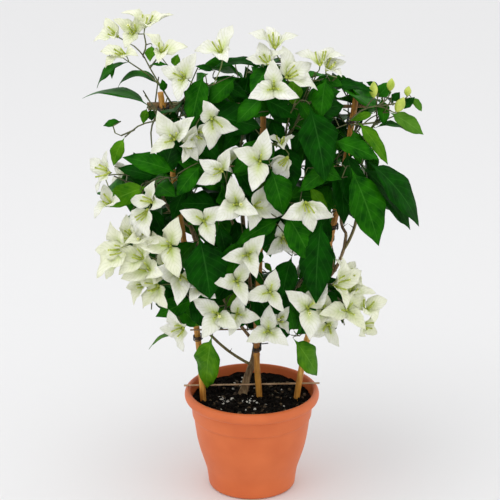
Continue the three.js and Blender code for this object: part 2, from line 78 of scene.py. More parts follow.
def blotches(tree, scale, detail=3, stretch=(1, 1, 1)):
    """Soft noise from 0 to 1 over a piece's own place, finer with a larger scale."""
    place = put(tree, "ShaderNodeTexCoord").outputs["Object"]
    drawn = put(tree, "ShaderNodeMapping", {"Vector": place, "Scale": stretch})
    spots = put(tree, "ShaderNodeTexNoise",
                {"Vector": drawn.outputs["Vector"], "Scale": scale, "Detail": detail})
    return spots.outputs["Fac"]


def ramp(tree, factor, *stops):
    """Colours dealt out along a factor, each stop given as (position, colour)."""
    made = put(tree, "ShaderNodeValToRGB", {"Fac": factor})
    points = made.color_ramp.elements
    while len(points) < len(stops):
        points.new(0.5)
    for point, (position, colour) in zip(points, stops):
        point.position = position
        point.color = colour
    return made.outputs["Color"]


def roughen(tree, shader, height, distance, strength=1.0):
    """Lets a height pattern stand out from a surface, distance metres at most."""
    bump = put(tree, "ShaderNodeBump", {"Height": height, "Distance": distance, "Strength": strength})
    tree.links.new(bump.outputs["Normal"], shader.inputs["Normal"])


def blotched_finish(name, pattern, colours, roughness, relief=0.0, shine=0.5):
    """A finish whose colours follow soft noise. pattern is the noise's scale, detail and stretch,
    each colour is (position, red, green, blue), and relief is how far it stands out, in metres."""
    finish, tree, shader = new_finish(name)
    spots = blotches(tree, *pattern)
    stops = [(position, srgb(*colour)) for position, *colour in colours]
    tree.links.new(ramp(tree, spots, *stops), shader.inputs["Base Color"])
    shader.inputs["Roughness"].default_value = roughness
    shader.inputs["Specular IOR Level"].default_value = shine
    if relief:
        roughen(tree, shader, spots, relief)
    return finish


FLOOR_SIZE = 6
LIGHTS_AIM = Vector((0, 0, 0.3))

floor_mesh = bpy.data.meshes.new("studio_floor")
draft = bmesh.new()
bmesh.ops.create_grid(draft, x_segments=1, y_segments=1, size=FLOOR_SIZE)
draft.to_mesh(floor_mesh)
draft.free()
floor_finish, _, floor_shader = new_finish("studio_floor")
floor_shader.inputs["Base Color"].default_value = srgb(230, 230, 231)
floor_shader.inputs["Roughness"].default_value = 0.7
floor_mesh.materials.append(floor_finish)
floor = bpy.data.objects.new("studio_floor", floor_mesh)
bpy.context.scene.collection.objects.link(floor)

world = bpy.data.worlds.new("studio")
world.use_nodes = True
world.node_tree.nodes["Background"].inputs["Color"].default_value = (1, 1, 1, 1)
world.node_tree.nodes["Background"].inputs["Strength"].default_value = 1.0
bpy.context.scene.world = world

for light_name, place, size, power in (
        ("overhead", (-0.5, -0.7, 2.3), 1.6, 11),
        ("left_side", (-2.0, -1.6, 1.3), 1.2, 3),
        ("right_side", (2.0, -1.2, 1.2), 1.2, 2)):
    lamp = bpy.data.lights.new(light_name, "AREA")
    lamp.shape = "DISK"
    lamp.size = size
    lamp.energy = power
    light = bpy.data.objects.new(light_name, lamp)
    light.location = place
    light.rotation_euler = (LIGHTS_AIM - Vector(place)).to_track_quat("-Z", "Y").to_euler()
    bpy.context.scene.collection.objects.link(light)

lens = bpy.data.cameras.new("camera")
lens.lens = LENS_LENGTH
lens.sensor_width = SENSOR_WIDTH
camera = bpy.data.objects.new("camera", lens)
camera.location = EYE * MM
camera.rotation_euler = (math.radians(90) - LOOK_DOWN, 0, 0)
bpy.context.scene.collection.objects.link(camera)
bpy.context.scene.camera = camera
bpy.context.scene.view_settings.view_transform = "Standard"

# ---------------------------------------------------------------- pot
# A moulded plastic pot in terracotta colour, bell-shaped, with a faint step under its rolled lip.
# Its wall is 2 mm thick and semi-matte. It stands on its flat underside.


def smooth_line(points, steps):
    """Points along a smooth line through the given ones, with steps between each two."""
    given = [Vector(point) for point in points]
    given = [given[0] * 2 - given[1], *given, given[-1] * 2 - given[-2]]
    line = []
    for a, b, c, d in zip(given, given[1:], given[2:], given[3:]):
        for k in range(steps):
            t = k / steps
            line.append(b + (c - a) * (t / 2) + (a * 2 - b * 5 + c * 4 - d) * (t * t / 2)
                        + (b * 3 - a - c * 3 + d) * (t ** 3 / 2))
    return [*line, given[-2]]


def add_piece(name, draft, finish, nodes=(), smooth=True):
    """Makes a drawing in millimetres a piece of the object, in place of the CAD nodes given."""
    bmesh.ops.scale(draft, vec=(MM, MM, MM), verts=draft.verts)
    mesh = bpy.data.meshes.new(name)
    draft.to_mesh(mesh)
    draft.free()
    mesh.polygons.foreach_set("use_smooth", [smooth] * len(mesh.polygons))
    mesh.materials.append(finish)
    piece = bpy.data.objects.new(name, mesh)
    bpy.context.scene.collection.objects.link(piece)
    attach(piece, "root")
    if nodes:
        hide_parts(*nodes)


def turned(outline, segments):
    """A drawing of a body turned about the upright axis from an outline of (radius, height)."""
    draft = bmesh.new()
    corners = [draft.verts.new((radius, 0, height)) for radius, height in outline]
    edges = [draft.edges.new(pair) for pair in zip(corners, corners[1:])]
    bmesh.ops.spin(draft, geom=corners + edges, axis=(0, 0, 1), cent=(0, 0, 0), angle=math.tau,
                   steps=segments, use_merge=True)
    bmesh.ops.remove_doubles(draft, verts=draft.verts, dist=0.001)
    bmesh.ops.recalc_face_normals(draft, faces=draft.faces)
    return draft


POT_FOOT = ((0, 0), (48, 0))
POT_OUTSIDE = ((52.4, 0, 0.4), (54.6, 0, 2.4), (55.4, 0, 6), (56.2, 0, 13), (58.2, 0, 25), (62.3, 0, 38),
               (66.3, 0, 51), (69.4, 0, 64), (71.6, 0, 78), (73.4, 0, 93))
POT_STEP = ((73.9, 94.4), (75.0, 95.2), (75.3, 96.2))
POT_LIP = ((75.6, 0, 98), (76.3, 0, 107), (77.0, 0, 113.4), (78.3, 0, 115.4), (80.9, 0, 115.9),
           (83.3, 0, 117.6), (84.7, 0, 120.6), (85.0, 0, 124), (84.1, 0, 127.2), (82.0, 0, 129.4),
           (79.6, 0, 129.9), (77.9, 0, 128.7), (77.2, 0, 126), (76.5, 0, 120), (75.0, 0, 112))
POT_INSIDE = ((72, 90), (67.4, 62), (60.3, 38), (56.2, 25), (53.4, 8), (51, 3), (0, 3))

outline = list(POT_FOOT)
outline += [(point.x, point.z) for point in smooth_line(POT_OUTSIDE, 4)]
outline += POT_STEP
outline += [(point.x, point.z) for point in smooth_line(POT_LIP, 4)]
outline += POT_INSIDE
terracotta, tree, shader = new_finish("terracotta_plastic")
orange = ramp(tree, blotches(tree, 26, 2), (0.3, srgb(208, 102, 50)), (0.7, srgb(218, 112, 58)))
tree.links.new(orange, shader.inputs["Base Color"])
grain = blotches(tree, 900, 4)
sheen = ramp(tree, grain, (0.3, (0.42, 0.42, 0.42, 1)), (0.7, (0.52, 0.52, 0.52, 1)))
tree.links.new(sheen, shader.inputs["Roughness"])
roughen(tree, shader, grain, 0.00008)
shader.inputs["Specular IOR Level"].default_value = 0.4
add_piece("pot_shell", turned(outline, 112), terracotta, ["pot"])

# ---------------------------------------------------------------- potting soil
# Black peat with crumbs and white specks of perlite, filled to 15 mm below the lip and a little
# higher at the back. The crumbs and specks lie half sunk in it.
SOIL_TOP = 115
SOIL_RADIUS = 74.6
SOIL_SIDE = ((0, 3.6), (50, 3.6), (53, 8.4), (60, 38), (67, 62), (71.6, 90), (SOIL_RADIUS, SOIL_TOP - 2))
SOIL_RINGS = 36
BACK_RISE = 4.5                   # how much higher the soil lies at the back edge
RISE_START, RISE_WIDTH = 52, 22
CLOD_WIDTH, CLOD_HEIGHT = 12, 2.4
LUMP_WIDTH, LUMP_HEIGHT = 5, 2


def soil_height(x, y):
    """How high the soil's surface stands at a place, in millimetres."""
    clods = noise.noise(Vector((x, y, 0)) / CLOD_WIDTH) * CLOD_HEIGHT
    lumps = noise.noise(Vector((x, y, 40)) / LUMP_WIDTH) * LUMP_HEIGHT
    edge = max(0, (math.hypot(x, y) - RISE_START) / RISE_WIDTH)
    return SOIL_TOP + 0.6 + (clods + lumps) + edge * max(0, y / SOIL_RADIUS) * BACK_RISE


def draws_from(seed):
    """Random numbers between two limits, the same every time for the same seed."""
    state = seed

    def draw(low, high):
        nonlocal state
        state = (state * 48271) % 2147483647
        return low + (high - low) * state / 2147483647
    return draw


outline = list(SOIL_SIDE)
outline += [(SOIL_RADIUS * k / SOIL_RINGS, SOIL_TOP) for k in range(SOIL_RINGS, -1, -1)]
draft = turned(outline, 120)
for vert in draft.verts:
    if vert.co.z > SOIL_TOP - 1:
        vert.co.z = soil_height(vert.co.x, vert.co.y)
peat = blotched_finish("peat", (420, 5), ((0.35, 7, 6, 5), (0.58, 22, 18, 14), (0.72, 58, 46, 34)), 0.9,
                       0.0012, shine=0.1)
add_piece("soil_bed", draft, peat, ["soil"])


def add_crumbs(name, count, sizes, finish, seed, reach, middle=(0, 0)):
    """Small irregular lumps, strewn over the soil and half sunk in it."""
    draw = draws_from(seed)
    draft = bmesh.new()
    for _ in range(count):
        turn = draw(0, math.tau)
        radius = reach * math.sqrt(draw(0, 1))
        x = middle[0] + radius * math.cos(turn)
        y = middle[1] + radius * math.sin(turn)
        size = draw(*sizes)
        stretch = Vector((draw(0.7, 1.3), draw(0.7, 1.3), draw(0.5, 0.9))) * size
        place = Matrix.Translation((x, y, soil_height(x, y) + size * 0.2))
        tumbled = place @ Matrix.Rotation(draw(0, 3), 4, "X") @ Matrix.Rotation(draw(0, 3), 4, "Z")
        shape = tumbled @ Matrix.Diagonal((*stretch, 1))
        lump = bmesh.ops.create_icosphere(draft, subdivisions=1, radius=1, matrix=shape)
        for vert in lump["verts"]:
            vert.co += Vector((draw(-0.2, 0.2), draw(-0.2, 0.2), draw(-0.2, 0.2))) * size
    add_piece(name, draft, finish)


perlite = blotched_finish("perlite", (600, 3), ((0.3, 196, 192, 180), (0.7, 240, 238, 230)), 0.85)
bark_chips = blotched_finish("bark_chips", (160, 4), ((0.3, 44, 34, 24), (0.7, 104, 84, 56)), 0.85, 0.0005)
add_crumbs("soil_crumbs", 760, (0.9, 2.8), peat, 31, 71)
add_crumbs("soil_clods", 150, (2.4, 4.6), peat, 57, 68)
add_crumbs("perlite_specks", 40, (0.8, 1.9), perlite, 77, 66)
add_crumbs("perlite_left", 34, (1.0, 2.4), perlite, 79, 12, (-33, -8))
add_crumbs("perlite_centre", 24, (1.0, 2.3), perlite, 83, 9, (-5, -9))
add_crumbs("soil_chips", 90, (1.2, 3.2), bark_chips, 91, 68)

# ---------------------------------------------------------------- cane trellis
# Three bamboo canes pushed into the soil, with thin split sticks across them: one laid on the
# pot's lip, one below the crown and one through it, and a rough broad slat tied behind at the top.


class Line:
    """A line through space that gives its place and heading any share of the way along."""

    def __init__(self, points):
        self.points = np.array([tuple(point) for point in points])
        strides = np.linalg.norm(np.diff(self.points, axis=0), axis=1)
        self.reached = np.concatenate(([0], np.cumsum(strides)))
        self.length = self.reached[-1]

    def at(self, share):
        return Vector([np.interp(share * self.length, self.reached, self.points[:, k]) for k in range(3)])

    def heading(self, share):
        return (self.at(min(share + 0.01, 1)) - self.at(max(share - 0.01, 0))).normalized()


def add_rod(draft, line, radius_at, sides, steps, relief=None, ends=True):
    """Carries a ring along a line. relief(place) is how far the surface stands out there."""
    centre = line.at(0)
    heading = line.heading(0)
    frame_turn = heading.to_track_quat("Z", "Y")
    ring = bmesh.ops.create_circle(draft, cap_ends=ends, segments=sides, radius=1)["verts"]
    spokes = [frame_turn @ vert.co.copy() for vert in ring]
    for k in range(steps + 1):
        share = k / steps
        if k:
            edges = {edge for vert in ring for edge in vert.link_edges if edge.other_vert(vert) in ring}
            grown = bmesh.ops.extrude_edge_only(draft, edges=list(edges))["geom"]
            made = [item for item in grown if isinstance(item, bmesh.types.BMVert)]
            order = {tuple(round(part, 4) for part in vert.co): vert for vert in made}
            ring = [order[tuple(round(part, 4) for part in vert.co)] for vert in ring]
            bend = heading.rotation_difference(line.heading(share))
            spokes = [bend @ spoke for spoke in spokes]
            heading = line.heading(share)
            centre = line.at(share)
        for vert, spoke in zip(ring, spokes):
            place = centre + spoke * radius_at(share)
            vert.co = place + spoke * (relief(place) if relief else 0)
    if ends:
        draft.faces.new(ring)
    return ring


CANE_RADIUS = 3.9
CANES = {
    "cane_left": ((-61, -8, 112), (-67, -6.4, 196), (-85, -3.6, 338), (-110, 0, 517)),
    "cane_centre": ((9.7, 4, 112), (6, 3.3, 189), (11, 1.6, 350), (14, 0, 515)),
    "cane_right": ((55.8, -1, 112), (69, -0.8, 196), (104, -0.3, 369), (125, 0, 511)),
}
CANE_JOINT = 88                   # from one knot of the bamboo to the next
FIRST_KNOTS = (40, 63, 86)        # how far up each cane its first knot is
KNOT_RISE, KNOT_WIDTH = 0.55, 1.7
GROOVE_DEPTH, GROOVE_WIDTH = 0.3, 1.4
GROOVE_PLACE = 3.6                # how far above a knot its groove lies
CANE_TAPER = 0.3
CANE_SIDES, CANE_STEPS = 14, 200


def cane_radius(length, first_knot):
    """The radius along a cane, which swells to a ridge at each knot, with a groove above it."""
    def radius_at(share):
        away = (share * length - first_knot + CANE_JOINT / 2) % CANE_JOINT - CANE_JOINT / 2
        ridge = KNOT_RISE * math.exp(-(away / KNOT_WIDTH) ** 2)
        groove = GROOVE_DEPTH * math.exp(-((away - GROOVE_PLACE) / GROOVE_WIDTH) ** 2)
        return CANE_RADIUS - CANE_TAPER * share + (ridge - groove)
    return radius_at


bamboo, tree, shader = new_finish("bamboo")
fibres = blotches(tree, 8, 4, (60, 60, 3))
stains = blotches(tree, 34, 3)
tan = ramp(tree, fibres, (0.3, srgb(176, 114, 38)), (0.55, srgb(218, 156, 62)), (0.75, srgb(232, 182, 92)))
weathered = ramp(tree, stains, (0.34, srgb(168, 138, 96)), (0.6, srgb(255, 255, 255)))
stained = put(tree, "ShaderNodeMix", {"Factor": 0.75, "A": tan, "B": weathered}, data_type="RGBA",
              blend_type="MULTIPLY")
tree.links.new(stained.outputs[2], shader.inputs["Base Color"])
shader.inputs["Roughness"].default_value = 0.5
roughen(tree, shader, fibres, 0.0002)
bamboo_canes = bmesh.new()
for points, first_knot in zip(CANES.values(), FIRST_KNOTS):
    line = Line(smooth_line(points, 30))
    rim = add_rod(bamboo_canes, line, cane_radius(line.length, first_knot), CANE_SIDES, CANE_STEPS,
                  ends=False)
    bamboo_canes.faces.new(rim)


def add_stick(draft, start, end, radius, seed):
    """A thin split stick, not quite straight and not quite round."""
    start, end = Vector(start), Vector(end)
    line = Line([start.lerp(end, k / 24) for k in range(25)])

    def relief(place):
        return noise.noise(place / 7 + Vector((seed, 0, 0))) * radius * 0.3
    add_rod(draft, line, lambda share: radius, 7, 24, relief)


ALONG_STICK = (30, 4, (1.2, 30, 30))
split_wood = blotched_finish("split_bamboo", ALONG_STICK,
                             ((0.3, 92, 72, 46), (0.55, 140, 114, 76), (0.75, 176, 150, 108)), 0.75, 0.0003)
sticks = bmesh.new()
add_stick(sticks, (-77, -11.4, 214), (84, -6.2, 214), 1.0, 5)
add_stick(sticks, (-107, -7.2, 426), (121, -5.6, 426), 1.0, 9)
add_piece("cross_sticks", sticks, split_wood, ["bar_low", "bar_high"])
peeled_wood = blotched_finish("peeled_bamboo", ALONG_STICK, ((0.3, 164, 128, 92), (0.7, 214, 182, 146)),
                              0.65, 0.0002)
rim_stick = bmesh.new()
add_stick(rim_stick, (-86, 5, 131.5), (86, 12.7, 131.5), 1.2, 3)
add_piece("rim_stick", rim_stick, peeled_wood, ["bar_rim"])

SLAT_START, SLAT_LENGTH = -126, 264
SLAT_HEIGHTS = (10, 3.4)
SLAT_THICKNESS = 3
SLAT_Y, SLAT_Z = 5.9, 498
slat = bmesh.new()
bmesh.ops.create_cube(slat, size=1)
long_edges = [edge for edge in slat.edges if abs(edge.verts[0].co.x - edge.verts[1].co.x) > 0.5]
bmesh.ops.subdivide_edges(slat, edges=long_edges, cuts=44)
cross_edges = [edge for edge in slat.edges if abs(edge.verts[0].co.z - edge.verts[1].co.z) > 0.5]
bmesh.ops.subdivide_edges(slat, edges=cross_edges, cuts=3, use_grid_fill=True)
for vert in slat.verts:
    share = vert.co.x + 0.5
    height = SLAT_HEIGHTS[0] + (SLAT_HEIGHTS[1] - SLAT_HEIGHTS[0]) * share
    rough = noise.noise(Vector((share * 30, vert.co.z * 3, vert.co.y * 3)))
    is_at_end = abs(vert.co.x) > 0.49
    vert.co = Vector((SLAT_START + SLAT_LENGTH * share + is_at_end * rough * 2,
                      SLAT_Y + vert.co.y * (SLAT_THICKNESS + rough * 0.5),
                      SLAT_Z + vert.co.z * height * (0.96 + 0.22 * rough)))
bmesh.ops.recalc_face_normals(slat, faces=slat.faces)
add_piece("top_slat", slat, split_wood, ["bar_top"])
add_piece("bamboo_canes", bamboo_canes, bamboo, list(CANES))

# ---------------------------------------------------------------- wire ties
# Black coated wire, wound three times round a cane and what is tied to it. The end of each sticks
# out at its front.
WIRE_RADIUS = 0.7
TIE_TURNS = 3
TIE_STEPS = 12                    # places along one turn
TIE_RISE = 0.17                   # how far the wire climbs from one place to the next
TIE_END = (3, 6, 10)              # how far the loose end has come out, at each of its places
# For each tie: its middle, its radius, and the turn where it starts.
TIES = (((-67.3, -8, 203), 5.6, 0.2), ((-107, 1, 497), 6.6, 1.2), ((122, 2, 482), 7.2, 2.2),
        ((99.6, 3, 346), 6.4, -0.7), ((6.6, 3.4, 183), 4.9, 0.7))

black_coat = blotched_finish("black_wire", (300, 3), ((0.3, 16, 17, 18), (0.8, 46, 48, 48)), 0.45)
ties = bmesh.new()
for (x, y, z), radius, turn in TIES:
    coil = []
    for k in range(TIE_TURNS * TIE_STEPS + 1):
        angle = turn + k * math.tau / TIE_STEPS
        climbed = (k - TIE_TURNS * TIE_STEPS / 2) * TIE_RISE + 1.2 * math.sin(angle + 0.6)
        coil.append((x + radius * math.cos(angle), y + radius * 1.25 * math.sin(angle), z + climbed))
    out = Vector((math.cos(turn - 0.9), -abs(math.sin(turn)) - 0.3, 0.5))
    coil += [Vector(coil[-1]) + out * reach for reach in TIE_END]
    add_rod(ties, Line(smooth_line(coil, 2)), lambda share: WIRE_RADIUS, 6, 90)
add_piece("wire_ties", ties, black_coat)

# ---------------------------------------------------------------- trunk and boughs
# A short grey-brown trunk with fissured bark and a root flare, forked 67 mm above the soil into
# three slender boughs that run up behind the canes. Younger side boughs are smoother and greener.


def bezier(start, via, end):
    """A line that bends once, by way of one point."""
    return Line([start.lerp(via, k / 24).lerp(via.lerp(end, k / 24), k / 24) for k in range(25)])


TRUNK_LINE = Line(smooth_line(((-12, 14, 113), (-6, 16, 138), (2, 19, 160), (6, 20, 182)), 20))
MAIN_BOUGHS = {
    "bough_left": (200, (-24, 17, 224), (-52, 14, 280), (-78, 13, 350), (-90, 14, 455)),
    "bough_centre": (80, (1, 21, 235), (-6, 19, 300), (-12, 17, 370), (-14, 18, 440)),
    "bough_right": (-40, (34, 17, 218), (72, 13, 250), (104, 9, 288), (116, 8, 330), (110, 10, 352),
                    (112, 13, 430)),
}
SIDE_BOUGHS = {
    "bough_low_left": ("trunk", 0.6, (-70, 18, 190), (-96, -14, 296)),
    "bough_left_top": ("bough_left", 0.93, (-82, 4, 458), (-82, -18, 480)),
    "bough_left_middle": ("bough_left", 0.62, (-112, 14, 366), (-108, -16, 398)),
    "bough_centre_top": ("bough_centre", 0.72, (32, 20, 412), (34, -16, 446)),
    "bough_centre_middle": ("bough_centre", 0.56, (-28, 10, 344), (-26, -18, 374)),
    "bough_centre_low": ("bough_centre", 0.24, (-26, 14, 246), (-20, -18, 278)),
    "bough_right_top": ("bough_right", 0.93, (138, 10, 436), (140, -12, 468)),
    "bough_right_middle": ("bough_right", 0.6, (136, 4, 352), (126, -16, 398)),
    "bough_right_low": ("bough_right", 0.27, (52, 2, 262), (62, -18, 284)),
    "bough_back_left": ("bough_left", 0.42, (-62, 30, 308), (-76, 36, 336)),
    "bough_back_right": ("bough_right", 0.5, (94, 30, 326), (86, 38, 356)),
    "bough_back_low": ("bough_centre", 0.14, (4, 34, 224), (6, 40, 246)),
}
TRUNK_RADIUS = 4.4
ROOT_FLARE = 2.2
BOUGH_RADIUS = 2.1
SIDE_BOUGH_RADIUS = 1.9
STEM_RADIUS = 1.8
FORK_SPREAD = 2.6                 # how far from the trunk's middle a main bough starts
FORK_DEPTH = 7                    # how far down into the trunk it is rooted

limbs = {"trunk": TRUNK_LINE}
fork = TRUNK_LINE.at(1)
fork_heading = TRUNK_LINE.heading(1)
fork_side = Vector((0, 1, 0)).cross(fork_heading).normalized()
fork_back = fork_heading.cross(fork_side)
for name, (turn, *points) in MAIN_BOUGHS.items():
    aside = fork_side * math.cos(math.radians(turn)) + fork_back * math.sin(math.radians(turn))
    root = fork + aside * FORK_SPREAD
    limbs[name] = Line(smooth_line((root - fork_heading * FORK_DEPTH - aside * 1.6, root, *points), 16))
for name, (parent, share, via, tip) in SIDE_BOUGHS.items():
    limbs[name] = bezier(limbs[parent].at(share), Vector(via), Vector(tip))


def tapering(foot_radius, tip_radius):
    """The radius along a limb that narrows evenly from foot to tip."""
    return lambda share: foot_radius + (tip_radius - foot_radius) * share


def trunk_radius(share):
    """The radius along the trunk, which flares at its foot."""
    return TRUNK_RADIUS + ROOT_FLARE * (1 - share) ** 5


def bark_relief(depth, grain):
    """Long fissures and small knobs that follow the length of a limb."""
    def relief(place):
        fissure = noise.noise(Vector((place.x / grain, place.y / grain, place.z / (grain * 5))))
        knob = noise.noise(place / (grain * 2.2))
        return depth * (fissure + max(0, knob) * 1.4)
    return relief


THORN_LENGTHS = (4, 8)
THORN_FOOT, THORN_TIP = 0.75, 0.1
THORN_LEAN = 0.35                 # how far a thorn leans towards the limb's tip
LEAF_TURN = 2.4                   # how far round a limb one leaf's place is from the next


def add_thorns(draft, line, radius, spacing, draw):
    """Straight thorns, one above each old leaf's place."""
    for k in range(1, int(line.length / spacing)):
        share = k * spacing / line.length
        turn = k * LEAF_TURN + draw(-0.4, 0.4)
        heading = line.heading(share)
        side = heading.orthogonal().normalized()
        out = math.cos(turn) * side + math.sin(turn) * heading.cross(side)
        direction = (out + heading * THORN_LEAN).normalized()
        length = draw(*THORN_LENGTHS)
        middle = line.at(share) + out * radius * 0.6 + direction * length / 2
        place = Matrix.Translation(middle) @ direction.to_track_quat("Z", "Y").to_matrix().to_4x4()
        bmesh.ops.create_cone(draft, cap_ends=True, segments=5, radius1=THORN_FOOT, radius2=THORN_TIP,
                              depth=length, matrix=place)


old_wood = bmesh.new()
young_wood = bmesh.new()
draw = draws_from(501)
for name, line in limbs.items():
    steps = int(line.length / 4)
    if name == "trunk":
        add_rod(old_wood, line, trunk_radius, 20, 60, bark_relief(0.75, 2.4))
    elif name in MAIN_BOUGHS:
        add_rod(old_wood, line, tapering(BOUGH_RADIUS, STEM_RADIUS), 10, steps, bark_relief(0.4, 2))
        add_thorns(young_wood, line, BOUGH_RADIUS, 42, draw)
    else:
        add_rod(young_wood, line, tapering(SIDE_BOUGH_RADIUS, STEM_RADIUS), 8, steps, bark_relief(0.2, 2))
        add_thorns(young_wood, line, STEM_RADIUS, 34, draw)
bark = blotched_finish("old_bark", (9, 5, (45, 45, 9)),
                       ((0.3, 70, 52, 34), (0.5, 120, 96, 66), (0.72, 166, 144, 108)), 0.85, 0.0006)
green_bark = blotched_finish("young_bark", (10, 4, (40, 40, 10)),
                             ((0.3, 84, 74, 44), (0.55, 122, 112, 66), (0.75, 154, 138, 92)), 0.65, 0.0002)
add_piece("trunk_and_main_boughs", old_wood, bark, ["trunk", *MAIN_BOUGHS])
add_piece("side_boughs", young_wood, green_bark, list(SIDE_BOUGHS))

# ---------------------------------------------------------------- growth
# Each mass of foliage grows from the tip of one bough: a stem, shoots from the stem, side twigs
# from the shoots, and leaves along them all, with trusses of bloom at the crown's surface. The
# blooms, leaves and twigs that are seen first from the front are placed one by one.
CROWN_WIDTH, CROWN_DEPTH, CROWN_HEIGHT = 222, 122, 236
CROWN_MIDDLE = 385
CROWN_ROUNDNESS = 2.5
LEAF_LENGTH = 66
LEAF_SPACING = 19
GOLDEN_ANGLE = math.pi * (3 - math.sqrt(5))
BRACT_REACH = 28
FRONT = (-150, 2)
BACK = (3, 150)

# For each mass: its bough, its space across, its side, its space upwards, its trusses as
# (x, z, blooms), the feet of its single leaves as (x, y, z), and how many more shoots it has.
MASSES = (
    ("front_left_top", "bough_left_top", (-240, -12), FRONT, (453, 640),
     ((-136, 589, 5), (-43, 595, 1), (-86, 555, 1), (-89, 490, 3), (-45, 506, 1)),
     ((-125, -30, 511), (-115, -35, 536), (-45, -75, 547)), 2),
    ("front_centre_top", "bough_centre_top", (-10, 128), FRONT, (453, 640),
     ((38, 572, 4), (84, 578, 2), (12, 478, 2)),
     ((56, -85, 531), (103, -60, 555)), 3),
    ("front_right_top", "bough_right_top", (130, 240), FRONT, (453, 640),
     ((164, 525, 3),), ((162, -40, 503), (188, -30, 501)), 4),
    ("front_left_middle", "bough_left_middle", (-240, -67), FRONT, (379, 451),
     ((-175, 432, 2), (-122, 408, 2)), ((-96, -85, 432), (-132, -75, 418)), 3),
    ("front_centre_middle", "bough_centre_middle", (-65, 92), FRONT, (322, 451),
     ((-31, 438, 2), (-9, 407, 2), (65, 402, 1), (-55, 390, 1), (42, 364, 1), (-7, 346, 2)),
     ((38, -100, 398), (29, -104, 394)), 2),
    ("front_right_middle", "bough_right_middle", (94, 240), FRONT, (320, 451),
     (), ((106, -80, 435), (131, -55, 443)), 4),
    ("front_left_low", "bough_low_left", (-240, -67), FRONT, (146, 377),
     ((-130, 341, 7), (-86, 250, 1)), ((-72, -80, 281), (-92, -60, 227)), 3),
    ("front_centre_low", "bough_centre_low", (-65, 50), FRONT, (146, 320),
     ((-50, 300, 1), (21, 298, 1), (-32, 270, 2), (16, 246, 1)), ((-49, -50, 222),), 3),
    ("front_right_low", "bough_right_low", (52, 240), FRONT, (146, 318),
     ((75, 273, 3), (120, 283, 4), (99, 300, 1)), ((56, -60, 223),), 3),
    ("back_left_top", "bough_left", (-240, -45), BACK, (430, 640), ((-120, 540, 3), (-165, 470, 2)), (), 6),
    ("back_centre_top", "bough_centre", (-43, 58), BACK, (430, 640), ((5, 560, 3), (10, 470, 2)), (), 5),
    ("back_right_top", "bough_right", (60, 240), BACK, (430, 640), ((110, 545, 3), (160, 470, 2)), (), 6),
    ("back_left_middle", "bough_back_left", (-240, 6), BACK, (290, 428),
     ((-140, 360, 3), (-50, 390, 2)), (), 5),
    ("back_right_middle", "bough_back_right", (8, 240), BACK, (290, 428),
     ((60, 380, 2), (150, 340, 3)), (), 5),
    ("back_low", "bough_back_low", (-170, 170), BACK, (146, 288),
     ((-90, 262, 3), (20, 240, 1), (100, 258, 2)), (), 4),
)
MASS_NODES = [plan[0] for plan in MASSES]


def crown_depth(x, z):
    """How far the crown stands out from the trellis, front or back, at a place on it."""
    across, upward = abs(x / CROWN_WIDTH), abs((z - CROWN_MIDDLE) / CROWN_HEIGHT)
    rest = 1 - across ** CROWN_ROUNDNESS - upward ** CROWN_ROUNDNESS
    return CROWN_DEPTH * max(0, rest) ** (1 / CROWN_ROUNDNESS)


def outward_at(place):
    """The way out of the crown at a place."""
    return Vector((place.x / CROWN_WIDTH ** 2, place.y / CROWN_DEPTH ** 2,
                   (place.z - CROWN_MIDDLE) / CROWN_HEIGHT ** 2)).normalized()


def square_to(axis, wanted):
    """The direction nearest to the wanted one that is square to an axis."""
    return (wanted - axis * wanted.dot(axis)).normalized()


TRUNK_REACH = 4.8                 # the trunk's radius with its bark, which leaves keep clear of
solid_lines = [Line(smooth_line(points, 30)) for points in CANES.values()]
solid_radii = [CANE_RADIUS] * len(solid_lines)
solid_lines += limbs.values()
solid_radii += [TRUNK_REACH] + [BOUGH_RADIUS] * (len(limbs) - 1)
wood_places = np.concatenate([[tuple(line.at(s)) for s in np.linspace(0, 1, int(line.length / 4))]
                              for line in solid_lines])
wood_radii = np.concatenate([[radius] * int(line.length / 4)
                             for line, radius in zip(solid_lines, solid_radii)])


def clears_wood(places, margin):
    """Whether none of some places comes nearer to a cane or limb than the margin."""
    gaps = np.linalg.norm(places[:, None] - wood_places[None], axis=2) - wood_radii
    return gaps.min() > margin


# On a leaf, as shares of its length: along it, to the side of it and out from it.
LEAF_PLACES = ((0.35, 0, 0), (0.45, 0.25, 0.06), (0.45, -0.25, 0.06), (0.7, 0, -0.03), (0.7, 0.15, 0),
               (0.7, -0.15, 0), (1, 0, -0.13))


def leaf_points(root, direction, facing, length):
    """Places along a leaf's middle and edges, for testing whether it has room."""
    normal = square_to(direction, facing)
    across = normal.cross(direction)
    return np.array([tuple(root + (direction * along + across * aside + normal * lift) * length)
                     for along, aside, lift in LEAF_PLACES])


stems = []                        # (line, radius at its foot, radius at its tip)
stalks = []                       # the same, for what carries the blooms and buds
blooms = []                       # (centre, facing, the three bracts' turns, scale, is young)
leaves = []                       # (root, direction, facing, length, breadth, bow, tint)
buds = []                         # (foot, tip, radius)
taken = np.zeros((0, 3))          # places of leaves and blooms already there
TOWARD = Vector((0, -math.cos(LOOK_DOWN), math.sin(LOOK_DOWN)))
UPWARD = Vector((0, math.sin(LOOK_DOWN), math.cos(LOOK_DOWN)))
RIGHT = Vector((1, 0, 0))
FRAME = 500                       # how many units the camera's frame is wide and high
FRAME_MIDDLE = FRAME / 2
FRAME_REACH = round(LENS_LENGTH / SENSOR_WIDTH * FRAME)          # the lens's length in those units


def in_frame(places):
    """Where places show in the camera's frame, as (across, down)."""
    offset = places - np.array(EYE)
    ahead = -offset @ np.array(TOWARD)
    return np.column_stack((FRAME_MIDDLE + FRAME_REACH * (offset @ np.array(RIGHT)) / ahead,
                            FRAME_MIDDLE - FRAME_REACH * (offset @ np.array(UPWARD)) / ahead))


